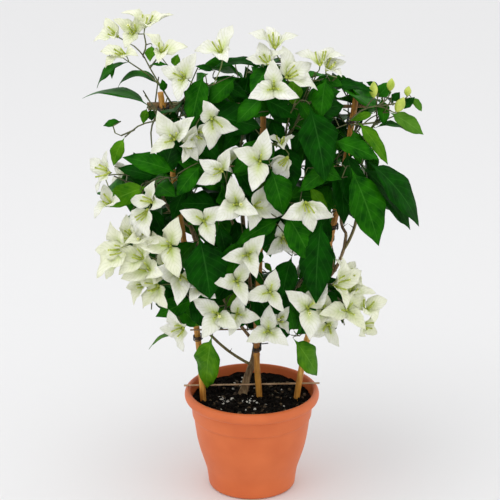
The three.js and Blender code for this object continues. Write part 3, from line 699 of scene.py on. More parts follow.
def from_frame(across, down, layer):
    """The place seen there on a layer of the front of the crown: 0 is at the trellis, 1 outermost."""
    across, down = (across - FRAME_MIDDLE) / FRAME_REACH, (down - FRAME_MIDDLE) / FRAME_REACH
    ray = RIGHT * across - UPWARD * down - TOWARD
    y = -60                       # near the front of the crown, and nearer to the layer each time
    for _ in range(5):
        place = EYE + ray * ((y - EYE.y) / ray.y)
        y = -max(6, crown_depth(place.x, place.z) * layer)
    return place


def take(places):
    """Notes places as taken."""
    global taken
    taken = np.concatenate((taken, places))


def has_room(places, spacing):
    """Whether places keep that far from all that is taken."""
    return not len(taken) or np.linalg.norm(places[:, None] - taken[None], axis=2).min() > spacing


BLOOM_VIEW_RADIUS = 17            # how wide a space stays open before a bloom's face
BLOOM_VIEW_DEPTH = 60             # and how deep it is


def hides_bloom(places):
    """Whether something there would stand in front of a bloom's face."""
    for centre, facing, *_ in blooms:
        offset = places - np.array(centre)
        ahead = offset @ np.array(facing)
        aside = np.linalg.norm(offset - ahead[:, None] * np.array(facing), axis=1)
        if ((ahead > -6) & (ahead < BLOOM_VIEW_DEPTH) & (aside < BLOOM_VIEW_RADIUS)).any():
            return True
    return False


# The crown's outline as the camera sees it, and the gaps in it with their radius, in frame units.
OUTLINE = np.array((
    (196, 66), (215, 63), (245, 57), (262, 63), (300, 62), (318, 72), (346, 76), (372, 90), (398, 98),
    (402, 112), (380, 124), (367, 134), (379, 162), (411, 190), (413, 222), (381, 208), (379, 242),
    (358, 228), (344, 212), (334, 236), (333, 274), (346, 288), (356, 318), (330, 336), (296, 337),
    (250, 332), (214, 338), (188, 336), (158, 320), (156, 300), (138, 286), (118, 262), (124, 236),
    (142, 226), (124, 206), (99, 204), (98, 180), (114, 167), (108, 150), (125, 137), (152, 120),
    (147, 107), (182, 102), (186, 80)))
GAPS = np.array((
    (203, 70, 4), (222, 73, 4), (232, 72, 4), (242, 74, 4), (310, 93, 5), (338, 94, 4), (338, 104, 5),
    (367, 106, 5), (277, 109, 5), (268, 119, 5), (269, 128, 4), (293, 161, 5), (300, 170, 4),
    (331, 133, 3), (355, 172, 5), (167, 211, 4), (153, 232, 5), (182, 164, 5), (272, 251, 6),
    (284, 258, 6), (293, 263, 4), (266, 266, 5), (180, 116, 4), (199, 190, 2), (290, 190, 3),
    (376, 117, 5), (364, 127, 6), (150, 135, 10), (135, 142, 8)))


def is_inside_outline(spots):
    """Whether all spots of the frame lie within the crown's outline, by counting its edges crossed."""
    starts, ends = OUTLINE, np.roll(OUTLINE, -1, axis=0)
    for across, down in spots:
        crossed = (starts[:, 1] > down) != (ends[:, 1] > down)
        at = starts[:, 0] + (down - starts[:, 1]) * (ends[:, 0] - starts[:, 0]) / np.where(
            ends[:, 1] == starts[:, 1], 1, ends[:, 1] - starts[:, 1])
        if (crossed & (at > across)).sum() % 2 == 0:
            return False
    return True


shown = []                        # (across, down, radius, y) of what the camera has to see whole


def spoils_view(places):
    """Whether something there leaves the outline, closes a gap, or hides what has to show."""
    spots = in_frame(places)
    if not is_inside_outline(spots):
        return True
    if (np.linalg.norm(spots[:, None] - GAPS[None, :, :2], axis=2) < GAPS[:, 2]).any():
        return True
    marks = np.array(shown)
    near = np.linalg.norm(spots[:, None] - marks[None, :, :2], axis=2) < marks[:, 2]
    return (near & (places[:, None, 1] < marks[None, :, 3] + 5)).any()


def cut_at_outline(line):
    """The part of a shoot from its foot that stays inside the outline."""
    inside = 0.4
    for share in np.linspace(0.45, 1, 12):
        if not is_inside_outline(in_frame(np.array([tuple(line.at(share))]))):
            return Line([line.at(part) for part in np.linspace(0, inside, 9)])
        inside = share
    return line


REACH_LOW = (-208, -124, 152)
REACH_HIGH = (213, 124, 632)


def in_reach(places):
    """Whether places stay within the reach of the plant, and above the pot."""
    return (places.min(axis=0) > REACH_LOW).all() and (places.max(axis=0) < REACH_HIGH).all()


def add_bloom(centre, facing, turns, scale, is_young=False):
    """Notes a bloom, and its place as taken."""
    blooms.append((centre, facing, turns, scale, is_young))
    take(np.array([tuple(centre + facing * s) for s in (-2, 6)]))


def grow_truss(line, side, count, draw):
    """Blooms round the end of a shoot on thin stalks, each turned a little away from the rest."""
    tip = line.at(1)
    axis = (outward_at(tip) * 0.9 + Vector((0, side * 0.35, 0.12))).normalized()
    right = square_to(axis, Vector((1, 0.01, 0)))
    over = axis.cross(right)
    spread = 0 if count == 1 else 15 + 4 * count
    for k in range(count):
        angle = draw(-0.35, 0.35) + k * math.tau / (count - (1 if count > 4 else 0))
        turn = draw(0, 2)
        scale = draw(0.86, 1.06)
        distance = 0 if count > 4 and k == 0 else spread
        radial = right * math.cos(angle) + over * math.sin(angle)
        facing = (axis + radial * distance * 0.018).normalized()
        centre = tip + axis * (15 - distance * 0.15) + radial * distance
        size = BRACT_REACH * scale
        reach = (centre + radial * size, centre + Vector((0, 0, size)), centre)
        if spoils_view(np.array([tuple(place) for place in reach])):
            continue
        add_bloom(centre, facing, [math.degrees(turn) + 120 * k for k in range(3)], scale)
        foot = line.at(1 - 0.05 * (k + 0.5))
        stalks.append((bezier(foot, foot.lerp(centre, 0.5) - facing * 4, centre - facing * 3), 0.6, 0.8))


LEAF_ROOM = 6                     # how far a leaf keeps from leaves and blooms already there
WOOD_ROOM = 2                     # and from canes and limbs


def grow_leaf(root, heading, angle, length, jitter, draw):
    """A leaf from a place on a twig, turned further round the twig until it has room."""
    outward = outward_at(root)
    right = square_to(heading, Vector((1, 0, 0)) if abs(heading.z) > 0.9 else Vector((0, 0, 1)))
    over = heading.cross(right)
    facing = outward * 0.8 + Vector((0, 0, 0.5)) + jitter
    for turn in (0, 70, -70, 140, -140, 35):
        spin = angle + math.radians(turn)
        radial = right * math.cos(spin) + over * math.sin(spin)
        direction = (radial * 0.62 + outward * 0.4 + heading * 0.2 + Vector((0, 0, -0.35))).normalized()
        places = leaf_points(root, direction, facing, length)
        is_free = in_reach(places) and clears_wood(places, WOOD_ROOM) and has_room(places, LEAF_ROOM)
        if is_free and not hides_bloom(places) and not spoils_view(places):
            chord = (direction - square_to(direction, facing) * 0.13).normalized()
            leaves.append((root, chord, facing, length, 1, draw(0.35, 1.05), None))
            take(places)
            return


def grow_leaves(line, spacing, size, draw, fine_draw):
    """Leaves along a shoot, each further round it than the one before."""
    count = max(1, round(line.length / spacing))
    phase = draw(0, math.tau)
    for k in range(count):
        share = (k + 0.9) / (count + 0.35)
        length = draw(0.78, 1.2) * size
        jitter = Vector((draw(-0.35, 0.35), draw(-0.35, 0.35), draw(-0.2, 0.35)))
        grow_leaf(line.at(share), line.heading(share), phase + k * GOLDEN_ANGLE, length, jitter, fine_draw)


GOLDEN_SHARE = 0.618034
STEM_SPAN = 165                   # how far to either side a stem may lean
STEM_HEIGHTS = (170, 570)
SHOOT_SPAN = (-190, 185)
SHOOT_HEIGHTS = (190, 590)


def grow_mass(plan, seed):
    """The stem and shoots on one bough, from the draws that give the shoots their places."""
    _, bough, (left, right), (near, far), (low, high), trusses, leaf_feet, shoots = plan
    draw = draws_from(seed)
    side = 1 if near + far > 0 else -1
    heading = limbs[bough].heading(1)
    foot = limbs[bough].at(1)
    middle_x = min(max((left + right) / 2, -STEM_SPAN), STEM_SPAN)
    middle_z = (max(low, STEM_HEIGHTS[0]) + min(high, STEM_HEIGHTS[1])) / 2
    middle = Vector((middle_x, side * crown_depth(middle_x, middle_z) * 0.6, middle_z))
    stem = bezier(foot - heading * 1.5, foot + heading * 14, foot.lerp(middle, 0.6))
    stems.append((stem, STEM_RADIUS, 1.3))
    ends = []
    for x, z, count in trusses:
        ends.append((Vector((x, side * max(14, crown_depth(x, z) * 0.85 - 10), z)), count))
    for foot_of_leaf in leaf_feet:
        ends.append((Vector(foot_of_leaf), 0))
    for k in range(shoots):
        a, b, c = draw(0, 1), draw(-0.5, 0.5), draw(0.3, 0.86)
        across = (0.5 + k * GOLDEN_SHARE + a * 0.2) % 1
        shoot_left, shoot_right = max(left, SHOOT_SPAN[0]) + 15, min(right, SHOOT_SPAN[1]) - 15
        x = shoot_left + (shoot_right - shoot_left) * across
        shoot_low, shoot_high = max(low + 20, SHOOT_HEIGHTS[0]), min(high - 20, SHOOT_HEIGHTS[1])
        z = shoot_low + (shoot_high - shoot_low) * (k + 0.5 + b) / shoots
        ends.append((Vector((x, side * max(14, crown_depth(x, z) * c), z)), 0))
    grown = []
    for k, (end, count) in enumerate(ends):
        lift, sway = draw(4, 22), draw(-12, 12)
        start = stem.at(0.2 + 0.75 * (k + 1) / len(ends))
        line = cut_at_outline(bezier(start, start.lerp(end, 0.5) + Vector((sway, side * 6, lift)), end))
        stems.append((line, 1.0, 0.75))
        grown.append((line, count))
    return grown, side, draw, draws_from(seed + 7)


SIDE_TWIG_SPACING = 26
SIDE_TWIG_LENGTHS = (24, 46)


def grow_side_twigs(line, side, draw):
    """Short twigs from a shoot, each with a few smaller leaves."""
    for k in range(1, max(2, int(line.length / SIDE_TWIG_SPACING))):
        share = k * SIDE_TWIG_SPACING / line.length
        if share > 0.94:
            return
        start = line.at(share)
        heading = Vector((draw(-1, 1), side * draw(0.1, 1), draw(-0.6, 0.9))).normalized()
        reach = heading * draw(*SIDE_TWIG_LENGTHS)
        places = np.array([tuple(start + reach * s) for s in (0.5, 1)])
        if in_reach(places) and clears_wood(places, 1.5) and not spoils_view(places):
            twig = bezier(start, start + reach * 0.5 + Vector((0, 0, 4)), start + reach)
            count = len(leaves)
            grow_leaves(twig, 15, LEAF_LENGTH * 0.74, draw, draw)
            if len(leaves) > count:
                stems.append((twig, 0.7, 0.5))


def close_crown(ends, draw):
    """Leafy shoots to places where the crown would stay open, each from the nearest stem."""
    for end in ends:
        end = Vector(end)
        heading = Vector((math.copysign(1, end.x), 0, 0.2)).normalized()
        twig, _ = reach_for(end, heading, furthest_back=90)
        twig = cut_at_outline(twig)
        count = len(leaves)
        grow_leaves(twig, 14, LEAF_LENGTH * 0.9, draw, draw)
        if len(leaves) > count:
            stems.append((twig, 0.9, 0.6))


def reach_for(place, heading, furthest_back=12):
    """A thin twig to a place, from the nearest point of what has grown, and how far that is."""
    spots = [line.at(share) for line, _, _ in stems for share in (0.15, 0.3, 0.45, 0.6, 0.75, 0.9, 1)]
    start = min((spot for spot in spots if spot.y < furthest_back), key=lambda spot: (spot - place).length)
    gap = (place - start).length
    twig = bezier(start, place - heading * gap * 0.4 + Vector((0, 0, gap * 0.06)), place)
    return twig, gap


# Blooms at the front: their centre in the frame, how far they face to the right and upwards, which
# way each bract points in degrees, their size and their layer.
FRONT_BLOOMS = (
    (117, 36, -0.7, 0.5, (100, 185, 290), 0.75, 0.84), (134, 32, -0.1, 0.3, (150, 250, 40), 0.85, 0.84),
    (145, 26, 0.15, 0.88, (175, 5, 280), 1.0, 0.84), (161, 52, 0.2, 0.5, (150, 10, 260), 0.95, 0.84),
    (124, 54, -0.5, 0.4, (165, 215, 330), 0.85, 0.84), (184, 78, -0.35, 0.1, (155, 50, 262), 1.0, 0.84),
    (221, 52, -0.3, 0.6, (172, 62, 290), 1.15, 0.84), (275, 47, 0, 0.85, (168, 8, 110), 1, 0.84),
    (268, 63, -0.4, 0.6, (170, 100, 350), 0.8, 0.78), (274, 88, 0, 0, (92, 204, 336), 1.1, 0.84),
    (287, 77, 0.5, 0.3, (110, 335, 35), 1.1, 0.84), (320, 64, 0, 0.85, (160, 358, 55), 1.05, 0.84),
    (327, 69, 0.4, 0.6, (20, 100, 300), 0.7, 0.84), (108, 172, -0.85, 0.1, (140, 60, 240), 0.9, 0.84),
    (110, 203, -0.5, 0.5, (230, 330, 100), 0.8, 0.84), (174, 139, -0.15, 0, (117, 214, 42), 1.15, 0.84),
    (186, 144, 0.4, -0.1, (250, 300, 70), 0.8, 0.74), (197, 133, 0.5, -0.3, (268, 200, 30), 0.9, 0.72),
    (212, 119, 0.15, -0.42, (262, 342, 112), 1.15, 0.84), (222, 171, -0.2, -0.1, (150, 66, 208), 1, 0.84),
    (237, 204, -0.05, 0.1, (101, 222, 330), 1.15, 0.84), (254, 207, 0.3, 0, (254, 344, 60), 1.05, 0.74),
    (260, 161, 0, 0.05, (78, 160, 256), 1.15, 0.84), (281, 143, 0, 0.8, (170, 20, 280), 0.55, 0.7),
    (287, 158, -0.5, -0.5, (200, 285, 240), 0.8, 0.7), (151, 202, -0.6, 0.1, (172, 60, 350), 0.95, 0.84),
    (147, 210, -0.6, -0.3, (226, 262, 310), 1, 0.78), (170, 246, -0.25, 0, (68, 176, 290), 1.3, 0.84),
    (148, 240, -0.3, 0.3, (120, 200, 330), 0.9, 0.78), (125, 250, -0.6, 0, (180, 96, 240), 1.3, 0.84),
    (142, 258, -0.4, 0.2, (160, 60, 220), 1.05, 0.84), (131, 238, -0.5, 0.3, (90, 30, 200), 0.95, 0.78),
    (149, 270, -0.3, 0.3, (200, 100, 330), 1, 0.84), (163, 266, 0.1, -0.2, (90, 240, 310), 0.75, 0.76),
    (180, 275, 0.1, -0.1, (160, 262, 330), 1.1, 0.84), (158, 286, -0.6, -0.1, (240, 130, 310), 1.05, 0.84),
    (146, 284, -0.7, 0, (190, 260, 80), 0.85, 0.76), (117, 262, -0.8, -0.1, (240, 150, 60), 0.85, 0.76),
    (199, 286, 0.2, 0.2, (130, 320, 240), 0.8, 0.84), (204, 221, 0, 0.1, (158, 292, 30), 1.15, 0.84),
    (248, 255, 0, 0, (187, 290, 50), 1.02, 0.84), (283, 238, 0.1, -0.3, (100, 322, 220), 0.95, 0.55),
    (237, 281, 0, 0, (185, 290, 60), 0.95, 0.84), (270, 292, 0, 0, (193, 77, 305), 1, 0.84),
    (306, 203, 0.2, -0.5, (193, 280, 333), 1.1, 0.84), (183, 328, -0.5, -0.3, (184, 285, 110), 0.95, 0.84),
    (218, 314, -0.1, 0, (147, 238, 325), 1.1, 0.84), (237, 314, 0, 0, (80, 350, 250), 0.9, 0.78),
    (268, 331, 0, 0.1, (208, 86, 323), 1.1, 0.84), (279, 320, 0.4, 0.1, (60, 300, 180), 0.6, 0.74),
    (308, 308, 0.1, 0, (144, 270, 55), 1.15, 0.84), (324, 310, 0.2, 0, (100, 340, 230), 0.85, 0.78),
    (335, 284, 0.7, 0.1, (30, 110, 280), 1.1, 0.84), (344, 276, 0.6, 0.4, (60, 140, 340), 0.75, 0.74),
    (347, 310, 0.1, 0.1, (60, 190, 310), 1.1, 0.84), (352, 292, 0.2, 0.4, (80, 170, 350), 0.9, 0.78),
    (366, 309, 0.3, 0.6, (30, 165, 280), 1, 0.84), (362, 326, 0.8, -0.1, (60, 330, 200), 0.85, 0.84),
    (328, 325, 0, -0.4, (200, 300, 60), 0.85, 0.76))
# Places in the frame, with their reach, where the bracts are young and still greener.
YOUNG_TRUSSES = ((138, 42, 32), (142, 264, 38), (354, 300, 34))
# Buds at the right: from foot to tip in the frame, with their half width.
FRONT_BUDS = (
    (374, 98, 374, 81, 4.2), (390, 91, 392, 78, 4), (407, 96, 409, 86, 3.6), (396, 112, 404, 97, 5))
# Single leaves at the front: from root to tip in the frame, the width seen, their layer, their tint
# from 0 (dark) to 3 (young), and how much they bow. A tint is partly the leaf's own colour and
# partly painted shade and painted light: darker for a leaf that lies in shade, lighter for a lit one.
FRONT_LEAVES = (
    (150, 107, 79, 98, 9, 0.5, 1, 1.1), (160, 87, 108, 88, 8, 0.4, 1, 2.2),
    (129, 62, 95, 90, 8, 0.5, 1, 1.2), (108, 57, 112, 79, 7, 0.5, 1, 0.3),
    (152, 45, 150, 62, 11, 0.5, 2, 0.5), (174, 67, 178, 54, 11, 0.5, 2, 0.3),
    (150, 65, 168, 65, 4, 0.5, 1, 0.4), (164, 92, 162, 79, 8, 0.5, 1, 0.4),
    (214, 71, 195, 66, 7, 0.5, 0, 0.8), (262, 65, 212, 68, 10, 0.6, 0, 0.9),
    (262, 68, 243, 57, 8, 0.5, 0, 0.5), (271, 66, 250, 94, 20, 0.8, 1, 0.5),
    (204, 74, 191, 128, 24, 0.8, 1, 0.5), (236, 78, 207, 106, 20, 0.7, 1, 0.6),
    (263, 97, 236, 124, 20, 0.8, 1, 0.5), (262, 98, 298, 118, 22, 0.6, 0, 0.5),
    (320, 81, 346, 87, 12, 0.6, 1, 1.8), (330, 86, 374, 92, 11, 0.6, 0, 0.8),
    (326, 78, 321, 120, 22, 0.8, 1, 0.5), (379, 88, 366, 82, 7, 0.3, 0, 0.5),
    (377, 98, 392, 82, 14, 0.4, 1, 0.4), (392, 102, 400, 92, 9, 0.4, 0, 0.4),
    (400, 110, 415, 97, 10, 0.4, 0, 0.4), (411, 97, 422, 112, 8, 0.3, 3, 0.9),
    (389, 112, 424, 135, 17, 0.4, 3, 0.5), (381, 98, 384, 126, 14, 0.4, 1, 0.4),
    (374, 113, 350, 121, 9, 0.4, 2, 0.4), (375, 128, 408, 131, 5, 0.4, 1, 1.2),
    (121, 121, 103, 126, 8, 0.4, 1, 0.4), (147, 108, 143, 124, 9, 0.3, 2, 0.5),
    (150, 109, 152, 121, 9, 0.3, 0, 0.3), (125, 137, 113, 167, 14, 0.5, 2, 1.0),
    (177, 173, 121, 157, 21, 0.8, 1, 0.7), (158, 178, 117, 168, 16, 0.5, 0, 0.5),
    (149, 186, 101, 207, 22, 0.7, 2, 0.6), (201, 165, 176, 197, 20, 0.8, 1, 0.5),
    (163, 108, 181, 129, 12, 0.4, 0, 0.4), (241, 127, 223, 151, 18, 0.6, 0, 0.5),
    (271, 169, 283, 216, 30, 0.85, 1, 0.6), (232, 164, 259, 203, 16, 0.6, 0, 0.5),
    (219, 205, 180, 204, 26, 0.7, 0, 0.5), (309, 104, 325, 183, 38, 0.9, 0, 0.5),
    (332, 140, 380, 160, 20, 0.8, 1, 0.6), (357, 121, 388, 165, 15, 0.5, 2, 0.4),
    (366, 160, 420, 228, 26, 0.8, 0, 0.7), (360, 165, 411, 231, 24, 0.6, 0, 0.6),
    (350, 166, 379, 247, 36, 0.8, 1, 0.5), (131, 213, 124, 235, 9, 0.6, 2, 0.3),
    (151, 221, 125, 236, 13, 0.5, 1, 0.5), (150, 208, 163, 234, 14, 0.4, 0, 0.5),
    (199, 236, 210, 300, 44, 0.95, 0, 0.5), (282, 218, 234, 246, 19, 0.8, 1, 0.6),
    (285, 212, 312, 263, 32, 0.85, 1, 0.6), (219, 225, 226, 257, 17, 0.7, 0, 0.4),
    (235, 218, 240, 252, 20, 0.3, 0, 0.5), (322, 218, 316, 305, 34, 0.9, 0, 0.5),
    (292, 256, 282, 298, 26, 0.7, 0, 0.5), (175, 297, 157, 303, 13, 0.6, 1, 0.4),
    (196, 299, 155, 317, 21, 0.8, 1, 0.5), (199, 293, 180, 292, 12, 0.6, 0, 0.5),
    (180, 332, 148, 350, 5, 0.5, 2, 0.8), (212, 335, 207, 389, 27, 0.6, 2, 0.3),
    (237, 291, 226, 307, 12, 0.5, 2, 0.4), (248, 300, 264, 306, 9, 0.5, 0, 0.4),
    (291, 335, 276, 330, 10, 0.5, 0, 0.4), (294, 331, 289, 307, 12, 0.6, 1, 0.4),
    (293, 338, 317, 376, 24, 0.6, 2, 0.4), (325, 291, 338, 305, 11, 0.5, 0, 0.4),
    (350, 298, 337, 292, 8, 0.5, 0, 0.4), (333, 303, 341, 313, 9, 0.5, 0, 0.3),
    (308, 186, 329, 216, 12, 0.6, 2, 0.4), (315, 168, 342, 180, 16, 0.8, 1, 0.5),
    (298, 100, 313, 125, 14, 0.7, 1, 0.4), (215, 80, 250, 100, 16, 0.4, 0, 0.5),
    (322, 150, 306, 182, 18, 0.3, 0, 0.5), (346, 148, 353, 214, 26, 0.6, 0, 0.6),
    (337, 162, 344, 226, 22, 0.5, 0, 0.5), (332, 118, 318, 160, 20, 0.5, 0, 0.5),
    (352, 128, 362, 168, 18, 0.5, 1, 0.5), (301, 130, 296, 152, 14, 0.5, 0, 0.5),
    (160, 236, 150, 262, 14, 0.3, 0, 0.5), (207, 262, 196, 284, 15, 0.4, 0, 0.5),
    (270, 118, 282, 150, 18, 0.4, 0, 0.5), (187, 185, 172, 221, 17, 0.5, 0, 0.5),
    (263, 250, 256, 267, 8, 0.5, 1, 0.5), (255, 269, 262, 286, 9, 0.5, 1, 0.4),
    (264, 262, 272, 272, 6, 0.4, 2, 0.4), (186, 158, 176, 178, 10, 0.4, 0, 0.5),
    (336, 164, 298, 193, 19, 0.75, 1, 0.6))
LEAF_BREADTH = 0.58               # how broad a leaf is, as a share of its length
MM_PER_UNIT = 1.22                # what a frame unit spans at the front of the crown
NARROWEST, BROADEST = 0.62, 1.3   # how much narrower and broader a front leaf may be than most
# Ends of shoots that close the crown at its sides, between the front and the back.
SIDE_SHOOTS = (
    (166, 14, 470), (172, 20, 430), (168, 8, 395), (150, 22, 360), (134, 14, 320), (120, 24, 285),
    (-150, 14, 500), (-164, 20, 455), (-168, 12, 420), (-158, 22, 380), (-146, 12, 335), (-122, 20, 290),
    (90, 20, 250), (-90, 18, 255), (60, 16, 520), (-60, 16, 525), (0, 22, 535), (110, 20, 515))
# Ends of shoots inside the crown, before and behind the trellis.
INNER_SHOOTS = (
    (84, -26, 452), (-84, -26, 448), (30, -28, 470), (-34, -28, 424), (64, -26, 404), (100, -24, 372),
    (-112, -24, 388), (78, -24, 336), (-70, -26, 340), (18, -26, 366), (56, -24, 292), (-92, -24, 290),
    (-24, -26, 306), (30, -22, 256), (-56, -22, 250), (92, 26, 410), (-96, 26, 408), (40, 28, 350),
    (78, 26, 300), (-66, 26, 296), (-20, 28, 430), (66, 28, 470), (-70, 28, 476), (10, 26, 270))
# Twigs that show beside or before the leaves, as places in the frame.
FRONT_TWIGS = (
    ((172, 104), (163, 90), (150, 68), (143, 55), (134, 46)), ((150, 68), (156, 60), (160, 55)),
    ((143, 55), (146, 46), (144, 34)), ((163, 88), (150, 76), (138, 68), (129, 62)),
    ((168, 112), (158, 120), (140, 125), (125, 137)), ((134, 130), (118, 136), (113, 126)),
    ((155, 118), (151, 130), (152, 148)), ((348, 122), (362, 110), (378, 106), (391, 111)),
    ((378, 106), (386, 100), (391, 92)), ((378, 106), (398, 103), (407, 97)),
    ((366, 108), (370, 102), (374, 98)), ((150, 190), (132, 184), (114, 176)))

# Places in the frame, with their reach, where a cane has to show between the leaves.
CANE_VIEWS = ((352, 104, 5), (353, 112, 5), (354, 120, 5), (354, 128, 5), (355, 136, 4), (183, 228, 3),
              (333, 213, 6), (332, 222, 8), (331, 232, 8), (262, 120, 4))
LONGEST_STALK = 45                # a bloom further from the nearest shoot has a twig of its own
BLOOM_SHOWN, BUD_SHOWN = 13, 8    # how wide about its middle a bloom or bud has to show
TWIG_LAYER = 0.45
BUD_LAYER = 0.5
CANE_FRONT = -4                   # the y of a cane's front
shown += [(across, down, reach, CANE_FRONT) for across, down, reach in CANE_VIEWS]
grown_masses = [grow_mass(plan, 1013 + 137 * k) for k, plan in enumerate(MASSES)]
for spots in FRONT_TWIGS:
    places = [from_frame(across, down, TWIG_LAYER) for across, down in spots]
    twig, _ = reach_for(places[0], (places[1] - places[0]).normalized())
    stems.append((twig, 1.15, 1.1))
    stems.append((Line(smooth_line(places, 5)), 1.1, 0.8))
for across, down, rightward, upwards, turns, scale, layer in FRONT_BLOOMS:
    toward = math.sqrt(max(0.04, 1 - rightward ** 2 - upwards ** 2))
    facing = (RIGHT * rightward + UPWARD * upwards + TOWARD * toward).normalized()
    centre = from_frame(across, down, layer)
    is_young = any(math.hypot(across - x, down - y) < reach for x, y, reach in YOUNG_TRUSSES)
    add_bloom(centre, facing, turns, scale, is_young)
    shown.append((across, down, BLOOM_SHOWN * scale, centre.y))
    twig, gap = reach_for(centre - facing * 3, facing)
    if gap > LONGEST_STALK:
        stems.append((twig, 0.8, 0.65))
    else:
        stalks.append((twig, 0.65, 0.8))
for across, down, tip_across, tip_down, half_width in FRONT_BUDS:
    foot = from_frame(across, down, BUD_LAYER)
    tip = from_frame(tip_across, tip_down, BUD_LAYER)
    buds.append((foot, tip, half_width * 1.2))
    shown.append(((across + tip_across) / 2, (down + tip_down) / 2, BUD_SHOWN, foot.y))
    twig, _ = reach_for(foot, (tip - foot).normalized())
    stalks.append((twig, 0.7, 0.9))
for across, down, tip_across, tip_down, width, layer, tint, bow in FRONT_LEAVES:
    root = from_frame(across, down, layer * 0.92)
    tip = from_frame(tip_across, tip_down, layer)
    direction = tip - root
    length = direction.length
    direction.normalize()
    slimness = width * MM_PER_UNIT / (LEAF_BREADTH * length)
    breadth = min(BROADEST, max(NARROWEST, slimness * 1.06))
    roll = math.acos(min(1, slimness / breadth))
    flat = square_to(direction, TOWARD)
    aside = direction.cross(flat)
    facing = flat * math.cos(roll) + aside * math.sin(roll) * (1 if aside.z > 0 else -1)
    leaves.append((root, direction, facing, length, breadth, bow, tint))
    take(leaf_points(root, direction, facing, length))
    for share in (0.3, 0.5, 0.7):
        place = root.lerp(tip, share)
        shown.append((across + (tip_across - across) * share, down + (tip_down - down) * share,
                      max(3, width * 0.36), place.y))
    twig, _ = reach_for(root, direction)
    stems.append((twig, 0.7, 0.55))
for grown, side, draw, _ in grown_masses:
    for line, count in grown:
        if count and side > 0:
            grow_truss(line, side, count, draw)
for grown, _, draw, fine_draw in grown_masses:
    for line, _ in grown:
        grow_leaves(line, LEAF_SPACING, LEAF_LENGTH, draw, fine_draw)
closing_draw = draws_from(3141)
close_crown(SIDE_SHOOTS, closing_draw)
for grown, side, _, fine_draw in grown_masses:
    for line, _ in grown:
        grow_side_twigs(line, side, fine_draw)
close_crown(INNER_SHOOTS, closing_draw)

# ---------------------------------------------------------------- twigs and stalks
# Thin green-brown shoots and side twigs, and the paler stalks that carry the blooms.
twigs = bmesh.new()
for line, foot_radius, tip_radius in stems:
    add_rod(twigs, line, tapering(foot_radius, tip_radius), 6, max(4, int(line.length / 9)))
twig_finish = blotched_finish("twig_bark", (120, 3), ((0.3, 62, 62, 34), (0.7, 98, 104, 52)), 0.6)
add_piece("twigs", twigs, twig_finish, MASS_NODES)
stalk_draft = bmesh.new()
for line, foot_radius, tip_radius in stalks:
    add_rod(stalk_draft, line, tapering(foot_radius, tip_radius), 5, 5)
stalk_finish = blotched_finish("bloom_stalk", (150, 2), ((0.3, 96, 110, 56), (0.7, 132, 140, 82)), 0.6)
add_piece("bloom_stalks", stalk_draft, stalk_finish)

# ---------------------------------------------------------------- leaves
# Pointed oval leaves on short stalks, folded along a paler midrib, bowed and a little wavy. Old
# ones are dark and glossy, and those at the ends of shoots lighter. At the front the dark tint also
# stands for painted shade on leaves that lie in shade, and the light tint for painted light on lit ones.


def flat_grid(columns, rows):
    """A flat sheet's corners as (across -1 to 1, along 0 to 1), and its faces. Its ends are points."""
    draft = bmesh.new()
    bmesh.ops.create_grid(draft, x_segments=columns, y_segments=rows, size=1)
    for vert in draft.verts:
        vert.co.y = (vert.co.y + 1) / 2
        if vert.co.y < 0.001 or vert.co.y > 0.999:
            vert.co.x = 0
    bmesh.ops.remove_doubles(draft, verts=draft.verts, dist=0.001)
    draft.verts.index_update()
    corners = np.array([(vert.co.x, vert.co.y) for vert in draft.verts])
    faces = [[vert.index for vert in face.verts] for face in draft.faces]
    draft.free()
    return corners, faces


def add_sprays(name, corners, faces, place, finish, thickness=0.0):
    """Many like things joined as one piece. corners holds each one's corners in millimetres, and
    place three numbers for each corner that its finish reads."""
    size = corners.shape[1]
    mesh = bpy.data.meshes.new(name)
    joined = [[corner + k * size for corner in face] for k in range(len(corners)) for face in faces]
    mesh.from_pydata((corners.reshape(-1, 3) * MM).tolist(), [], joined)
    mesh.polygons.foreach_set("use_smooth", [True] * len(mesh.polygons))
    layer = mesh.attributes.new("place", "FLOAT_VECTOR", "POINT")
    layer.data.foreach_set("vector", np.asarray(place, dtype=np.float32).ravel())
    mesh.materials.append(finish)
    piece = bpy.data.objects.new(name, mesh)
    bpy.context.scene.collection.objects.link(piece)
    if thickness:
        shell = piece.modifiers.new("thickness", "SOLIDIFY")
        shell.thickness = thickness * MM
        shell.offset = 0
    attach(piece, "root")
    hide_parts(*MASS_NODES)


def veined_place(tree, slant, closeness):
    """How far out and how far along a leaf or bract a place is, and a wave of slanting side veins."""
    place = put(tree, "ShaderNodeAttribute", attribute_name="place")
    parts = put(tree, "ShaderNodeSeparateXYZ", {"Vector": place.outputs["Vector"]})
    aside = put(tree, "ShaderNodeMath", {0: parts.outputs["X"]}, operation="ABSOLUTE").outputs[0]
    along = parts.outputs["Y"]
    slanting = put(tree, "ShaderNodeMath", {0: aside, 1: -slant, 2: along}, operation="MULTIPLY_ADD")
    wave = put(tree, "ShaderNodeMath", {0: slanting.outputs[0], 1: closeness}, operation="MULTIPLY")
    veins = put(tree, "ShaderNodeMath", {0: wave.outputs[0]}, operation="SINE")
    return aside, along, veins.outputs[0]


EDGE_RIPPLE = 0.05                # how far an edge swings in and out, as a share of the half width


def blade(grid, root, direction, facing, length, outline, bow, fold, twist, wave, phase):
    """The corners of one leaf or bract, from its root to its tip along direction."""
    across, along = grid[:, 0], grid[:, 1]
    normal = np.array(square_to(direction, facing))
    ahead = np.array(direction)
    right = np.cross(ahead, normal)
    width = outline(along) * length * (1 + EDGE_RIPPLE * np.sin(along * 23 + phase + across))
    turn = bow * (along - 0.5)
    reach = (np.sin(turn) - math.sin(-bow / 2)) / bow * length
    rise = (np.cos(turn) - math.cos(bow / 2)) / bow * length
    lean = twist * along
    side = across * width * math.cos(fold)
    lift = np.abs(across) ** 1.2 * width * math.sin(fold)
    lift = lift + wave * width * np.abs(across) * np.sin(along * 11 + phase + across * 1.5)
    sideways = side * np.cos(lean) - lift * np.sin(lean)
    upward = side * np.sin(lean) + lift * np.cos(lean) + rise
    return np.array(root) + reach[:, None] * ahead + sideways[:, None] * right + upward[:, None] * normal


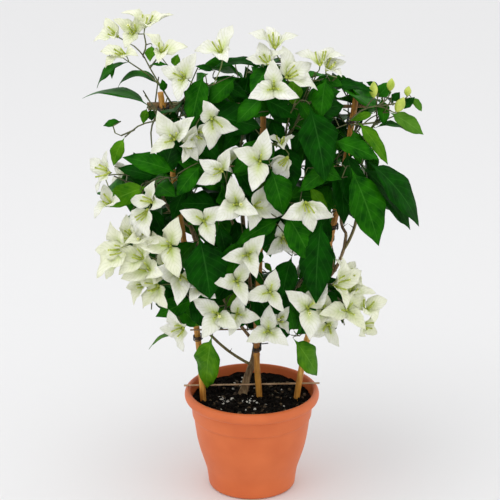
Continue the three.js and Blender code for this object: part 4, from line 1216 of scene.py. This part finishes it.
def leaf_outline(along):
    """Half the width of a leaf, as a share of its length. It has a thin stalk and a drawn-out tip."""
    blade_share = np.clip((along - 0.12) / 0.88, 0, 1)
    belly = np.sin(math.pi * blade_share ** 0.75) ** 0.85 * (1 - 0.3 * blade_share ** 3)
    tip_share = np.clip((blade_share - 0.78) / 0.18, 0, 1)
    belly = belly * (1 - 0.4 * tip_share ** 2 * (3 - 2 * tip_share))
    return 0.012 * (along < 0.999) + 0.27 * np.maximum(belly, 0)


LEAF_THICKNESS = 0.4
SHORT_LEAF = 50                   # a shorter one counts as younger, by YOUTH_OF_SHORT
YOUTH_OF_SHORT = 0.25
GREEN_FROM, LIGHT_FROM = 0.6, 1.05
# The deeper and the brighter colour of each kind of leaf. The dark kind is also painted shade for
# front leaves that lie in shade, and the light kind also painted light for front leaves that are lit.
LEAF_TINTS = {
    "leaves_dark_and_shaded": ((2, 40, 0), (16, 80, 2)),
    "leaves_green": ((5, 58, 0), (38, 110, 6)),
    "leaves_light_and_lit": ((38, 96, 4), (88, 142, 20)),
    "leaves_young": ((58, 108, 22), (92, 142, 44)),
}
leaf_grid, leaf_faces = flat_grid(4, 16)
draw = draws_from(90210)
leaf_sets = {name: ([], []) for name in LEAF_TINTS}
for root, direction, facing, length, breadth, bow, tint in leaves:
    fold = draw(0.12, 0.4) * (1 if tint is None else 0.6)
    twist = draw(-0.4, 0.4) * (1 if tint is None else 0.4)
    wave = draw(0.06, 0.2)
    phase = draw(0, 6)
    tone = draw(0, 1)
    shape = blade(leaf_grid, root, direction, facing, length, lambda along: leaf_outline(along) * breadth,
                  bow, fold, twist, wave, phase)
    if tint is None:
        youth = tone + (YOUTH_OF_SHORT if length < SHORT_LEAF else 0)
        tint = 0 if youth < GREEN_FROM else 1 if youth < LIGHT_FROM else 2
    # The dark set also holds front leaves whose tint is painted shade, the light set lit ones as painted
    # light.
    shapes, places = leaf_sets[list(LEAF_TINTS)[tint]]
    shapes.append(shape)
    places.append(np.column_stack((leaf_grid, np.full(len(leaf_grid), tone))))

for name, (shapes, places) in leaf_sets.items():
    deep, bright = LEAF_TINTS[name]
    leaf_finish, tree, shader = new_finish(name)
    from_rib, _, veins = veined_place(tree, 0.28, 52)
    body = ramp(tree, blotches(tree, 70, 3), (0.26, srgb(*deep)), (0.76, srgb(*bright)))
    vein_mask = ramp(tree, veins, (0.9, (0, 0, 0, 1)), (1.0, (0.13, 0.13, 0.13, 1)))
    rib_mask = ramp(tree, from_rib, (0.0, (0.3, 0.3, 0.3, 1)), (0.06, (0, 0, 0, 1)))
    marks = put(tree, "ShaderNodeMath", {0: vein_mask, 1: rib_mask}, operation="MAXIMUM").outputs[0]
    pale = srgb(*[part + 46 for part in bright])
    veined = put(tree, "ShaderNodeMix", {"Factor": marks, "A": body, "B": pale}, data_type="RGBA")
    tree.links.new(veined.outputs[2], shader.inputs["Base Color"])
    shader.inputs["Roughness"].default_value = 0.4
    shader.inputs["Specular IOR Level"].default_value = 0.03
    roughen(tree, shader, marks, 0.0004, 0.5)
    add_sprays(name, np.array(shapes), leaf_faces, np.concatenate(places), leaf_finish,
               LEAF_THICKNESS)

# ---------------------------------------------------------------- blooms
# Three papery white bracts to a bloom, each pointed, cupped and finely veined, with a green keel
# at its foot. A slender green-yellow flower tube stands on each, and some open in a small star.
BRACT_THICKNESS = 0.3
BRACT_CUP = 10
CLOSED_SHARE = 0.86               # of the tubes, which have no open flower
STAR_FOOT, STAR_TIP = 0.8, 2.6    # the radius of an open flower below and above
HEART_RADIUS = 2.3                # of the green knot where the three bracts meet
TUBE_LENGTHS = (13, 19)
# For bracts full grown and still young: the piece, the paper's shade and white, and the keel.
BRACT_TINTS = {
    False: ("bracts", (218, 220, 200), (240, 240, 231), (190, 212, 58)),
    True: ("bracts_young", (223, 226, 192), (240, 241, 220), (180, 206, 34)),
}


def bract_outline(along):
    """Half the width of a bract, as a share of its length."""
    return 0.02 * (along < 0.999) + 0.98 * along ** 0.66 * (1 - along) ** 1.1


def tube_radius(share):
    """The radius along a flower tube, which narrows and then opens at its mouth."""
    return 1.05 - 0.35 * share + 0.5 * share ** 4


bract_grid, bract_faces = flat_grid(4, 8)
bract_sets = {False: ([], []), True: ([], [])}
tubes = bmesh.new()
stars = bmesh.new()
draw = draws_from(4711)
for centre, facing, turns, scale, is_young in blooms:
    right = square_to(facing, Vector((1, 0.01, 0)))
    over = facing.cross(right)
    open_share = draw(0.3, 1.0)
    heart = Matrix.Translation(centre - facing)
    bmesh.ops.create_icosphere(tubes, subdivisions=1, radius=HEART_RADIUS, matrix=heart)
    for turn in turns:
        angle = math.radians(turn)
        radial = right * math.cos(angle) + over * math.sin(angle)
        flare = draw(0.85, 1.1)
        cup = (BRACT_CUP + 12 * (1 - open_share)) * draw(0.7, 1.3)
        chord = (radial * BRACT_REACH * flare + facing * cup) * scale
        bow = draw(0.5, 1.3)
        fold = draw(0.25, 0.65)
        twist = draw(-0.4, 0.4)
        wave = draw(0.16, 0.36)
        phase = draw(0, 6)
        shape = blade(bract_grid, centre - facing * 2 + radial, chord.normalized(), facing - radial * 0.2,
                      chord.length + 3, bract_outline, bow, fold, twist, wave, phase)
        shapes, places = bract_sets[is_young]
        shapes.append(shape)
        places.append(np.column_stack((bract_grid, np.full(len(bract_grid), draw(0, 1)))))
        start = centre + radial * 2.2
        lean = facing + radial * draw(0.1, 0.4)
        end = start + lean.normalized() * draw(*TUBE_LENGTHS) * scale
        line = bezier(start, start.lerp(end, 0.5) + radial, end)
        add_rod(tubes, line, tube_radius, 6, 5)
        if draw(0, 1) > CLOSED_SHARE:
            mouth = Matrix.Translation(end) @ line.heading(1).to_track_quat("Z", "Y").to_matrix().to_4x4()
            star = bmesh.ops.create_cone(stars, cap_ends=True, segments=10, radius1=STAR_FOOT,
                                         radius2=STAR_TIP, depth=0.9, matrix=mouth)["verts"]
            for vert in star[1::4]:
                vert.co += (end - vert.co) * 0.4
            bmesh.ops.create_cone(tubes, cap_ends=True, segments=8, radius1=1.5, radius2=0.9, depth=1.2,
                                  matrix=mouth @ Matrix.Translation((0, 0, 0.6)))

for is_young, (shapes, places) in bract_sets.items():
    name, shade, paper_white, keel_green = BRACT_TINTS[is_young]
    bract_finish, tree, shader = new_finish(name)
    from_keel, along, veins = veined_place(tree, 0.35, 44)
    paper = ramp(tree, blotches(tree, 60, 3), (0.3, srgb(*shade)), (0.7, srgb(*paper_white)))
    keel = ramp(tree, from_keel, (0.0, (1, 1, 1, 1)), (0.12, (0.7, 0.7, 0.7, 1)), (0.6, (0.1, 0.1, 0.1, 1)))
    foot = ramp(tree, along, (0.05, (1, 1, 1, 1)), (0.6, (0, 0, 0, 1)))
    green_share = put(tree, "ShaderNodeMath", {0: keel, 1: foot}, operation="MULTIPLY")
    vein_mask = ramp(tree, veins, (0.6, (0, 0, 0, 1)), (1.0, (0.34, 0.34, 0.34, 1)))
    veined = put(tree, "ShaderNodeMix", {"Factor": vein_mask, "A": paper, "B": srgb(194, 202, 160)},
                 data_type="RGBA")
    keeled = put(tree, "ShaderNodeMix", {"Factor": green_share.outputs[0], "A": veined.outputs[2],
                                         "B": srgb(*keel_green)}, data_type="RGBA")
    tree.links.new(keeled.outputs[2], shader.inputs["Base Color"])
    shader.inputs["Roughness"].default_value = 0.6
    shader.inputs["Subsurface Weight"].default_value = 0.15
    shader.inputs["Subsurface Radius"].default_value = (0.004, 0.004, 0.003)
    shader.inputs["Subsurface Scale"].default_value = 0.4
    roughen(tree, shader, vein_mask, 0.0006, 0.8)
    add_sprays(name, np.array(shapes), bract_faces, np.concatenate(places), bract_finish,
               BRACT_THICKNESS)
tube_finish = blotched_finish("flower_tube", (200, 2), ((0.3, 156, 172, 52), (0.7, 200, 210, 98)), 0.55)
add_piece("flower_tubes", tubes, tube_finish)
star_finish = blotched_finish("star_flower", (400, 2), ((0.3, 236, 234, 170), (0.7, 250, 248, 206)), 0.6)
add_piece("star_flowers", stars, star_finish, smooth=False)

# ---------------------------------------------------------------- buds
# Closed young bracts in yellow-green, three to a bud, drawn out to a point and streaked along. They
# stand on the ends of the thin twigs at the right.
bud_draft = bmesh.new()
for foot, tip, radius in buds:
    length = (tip - foot).length
    upright = (tip - foot).to_track_quat("Z", "Y").to_matrix().to_4x4()
    place = Matrix.Translation(foot.lerp(tip, 0.5)) @ upright
    bud = bmesh.ops.create_uvsphere(bud_draft, u_segments=12, v_segments=10, radius=1)["verts"]
    for vert in bud:
        angle = math.atan2(vert.co.y, vert.co.x)
        pointed = 1 - 0.7 * max(0, vert.co.z) ** 2 - 0.3 * min(0, vert.co.z) ** 2
        girth = radius * (pointed + 0.12 * math.cos(3 * angle))
        vert.co = place @ Vector((vert.co.x * girth, vert.co.y * girth, vert.co.z * length / 2))
bud_finish = blotched_finish("bud", (150, 3, (1, 1, 0.3)), ((0.3, 150, 176, 40), (0.7, 208, 216, 104)), 0.5)
add_piece("buds", bud_draft, bud_finish)
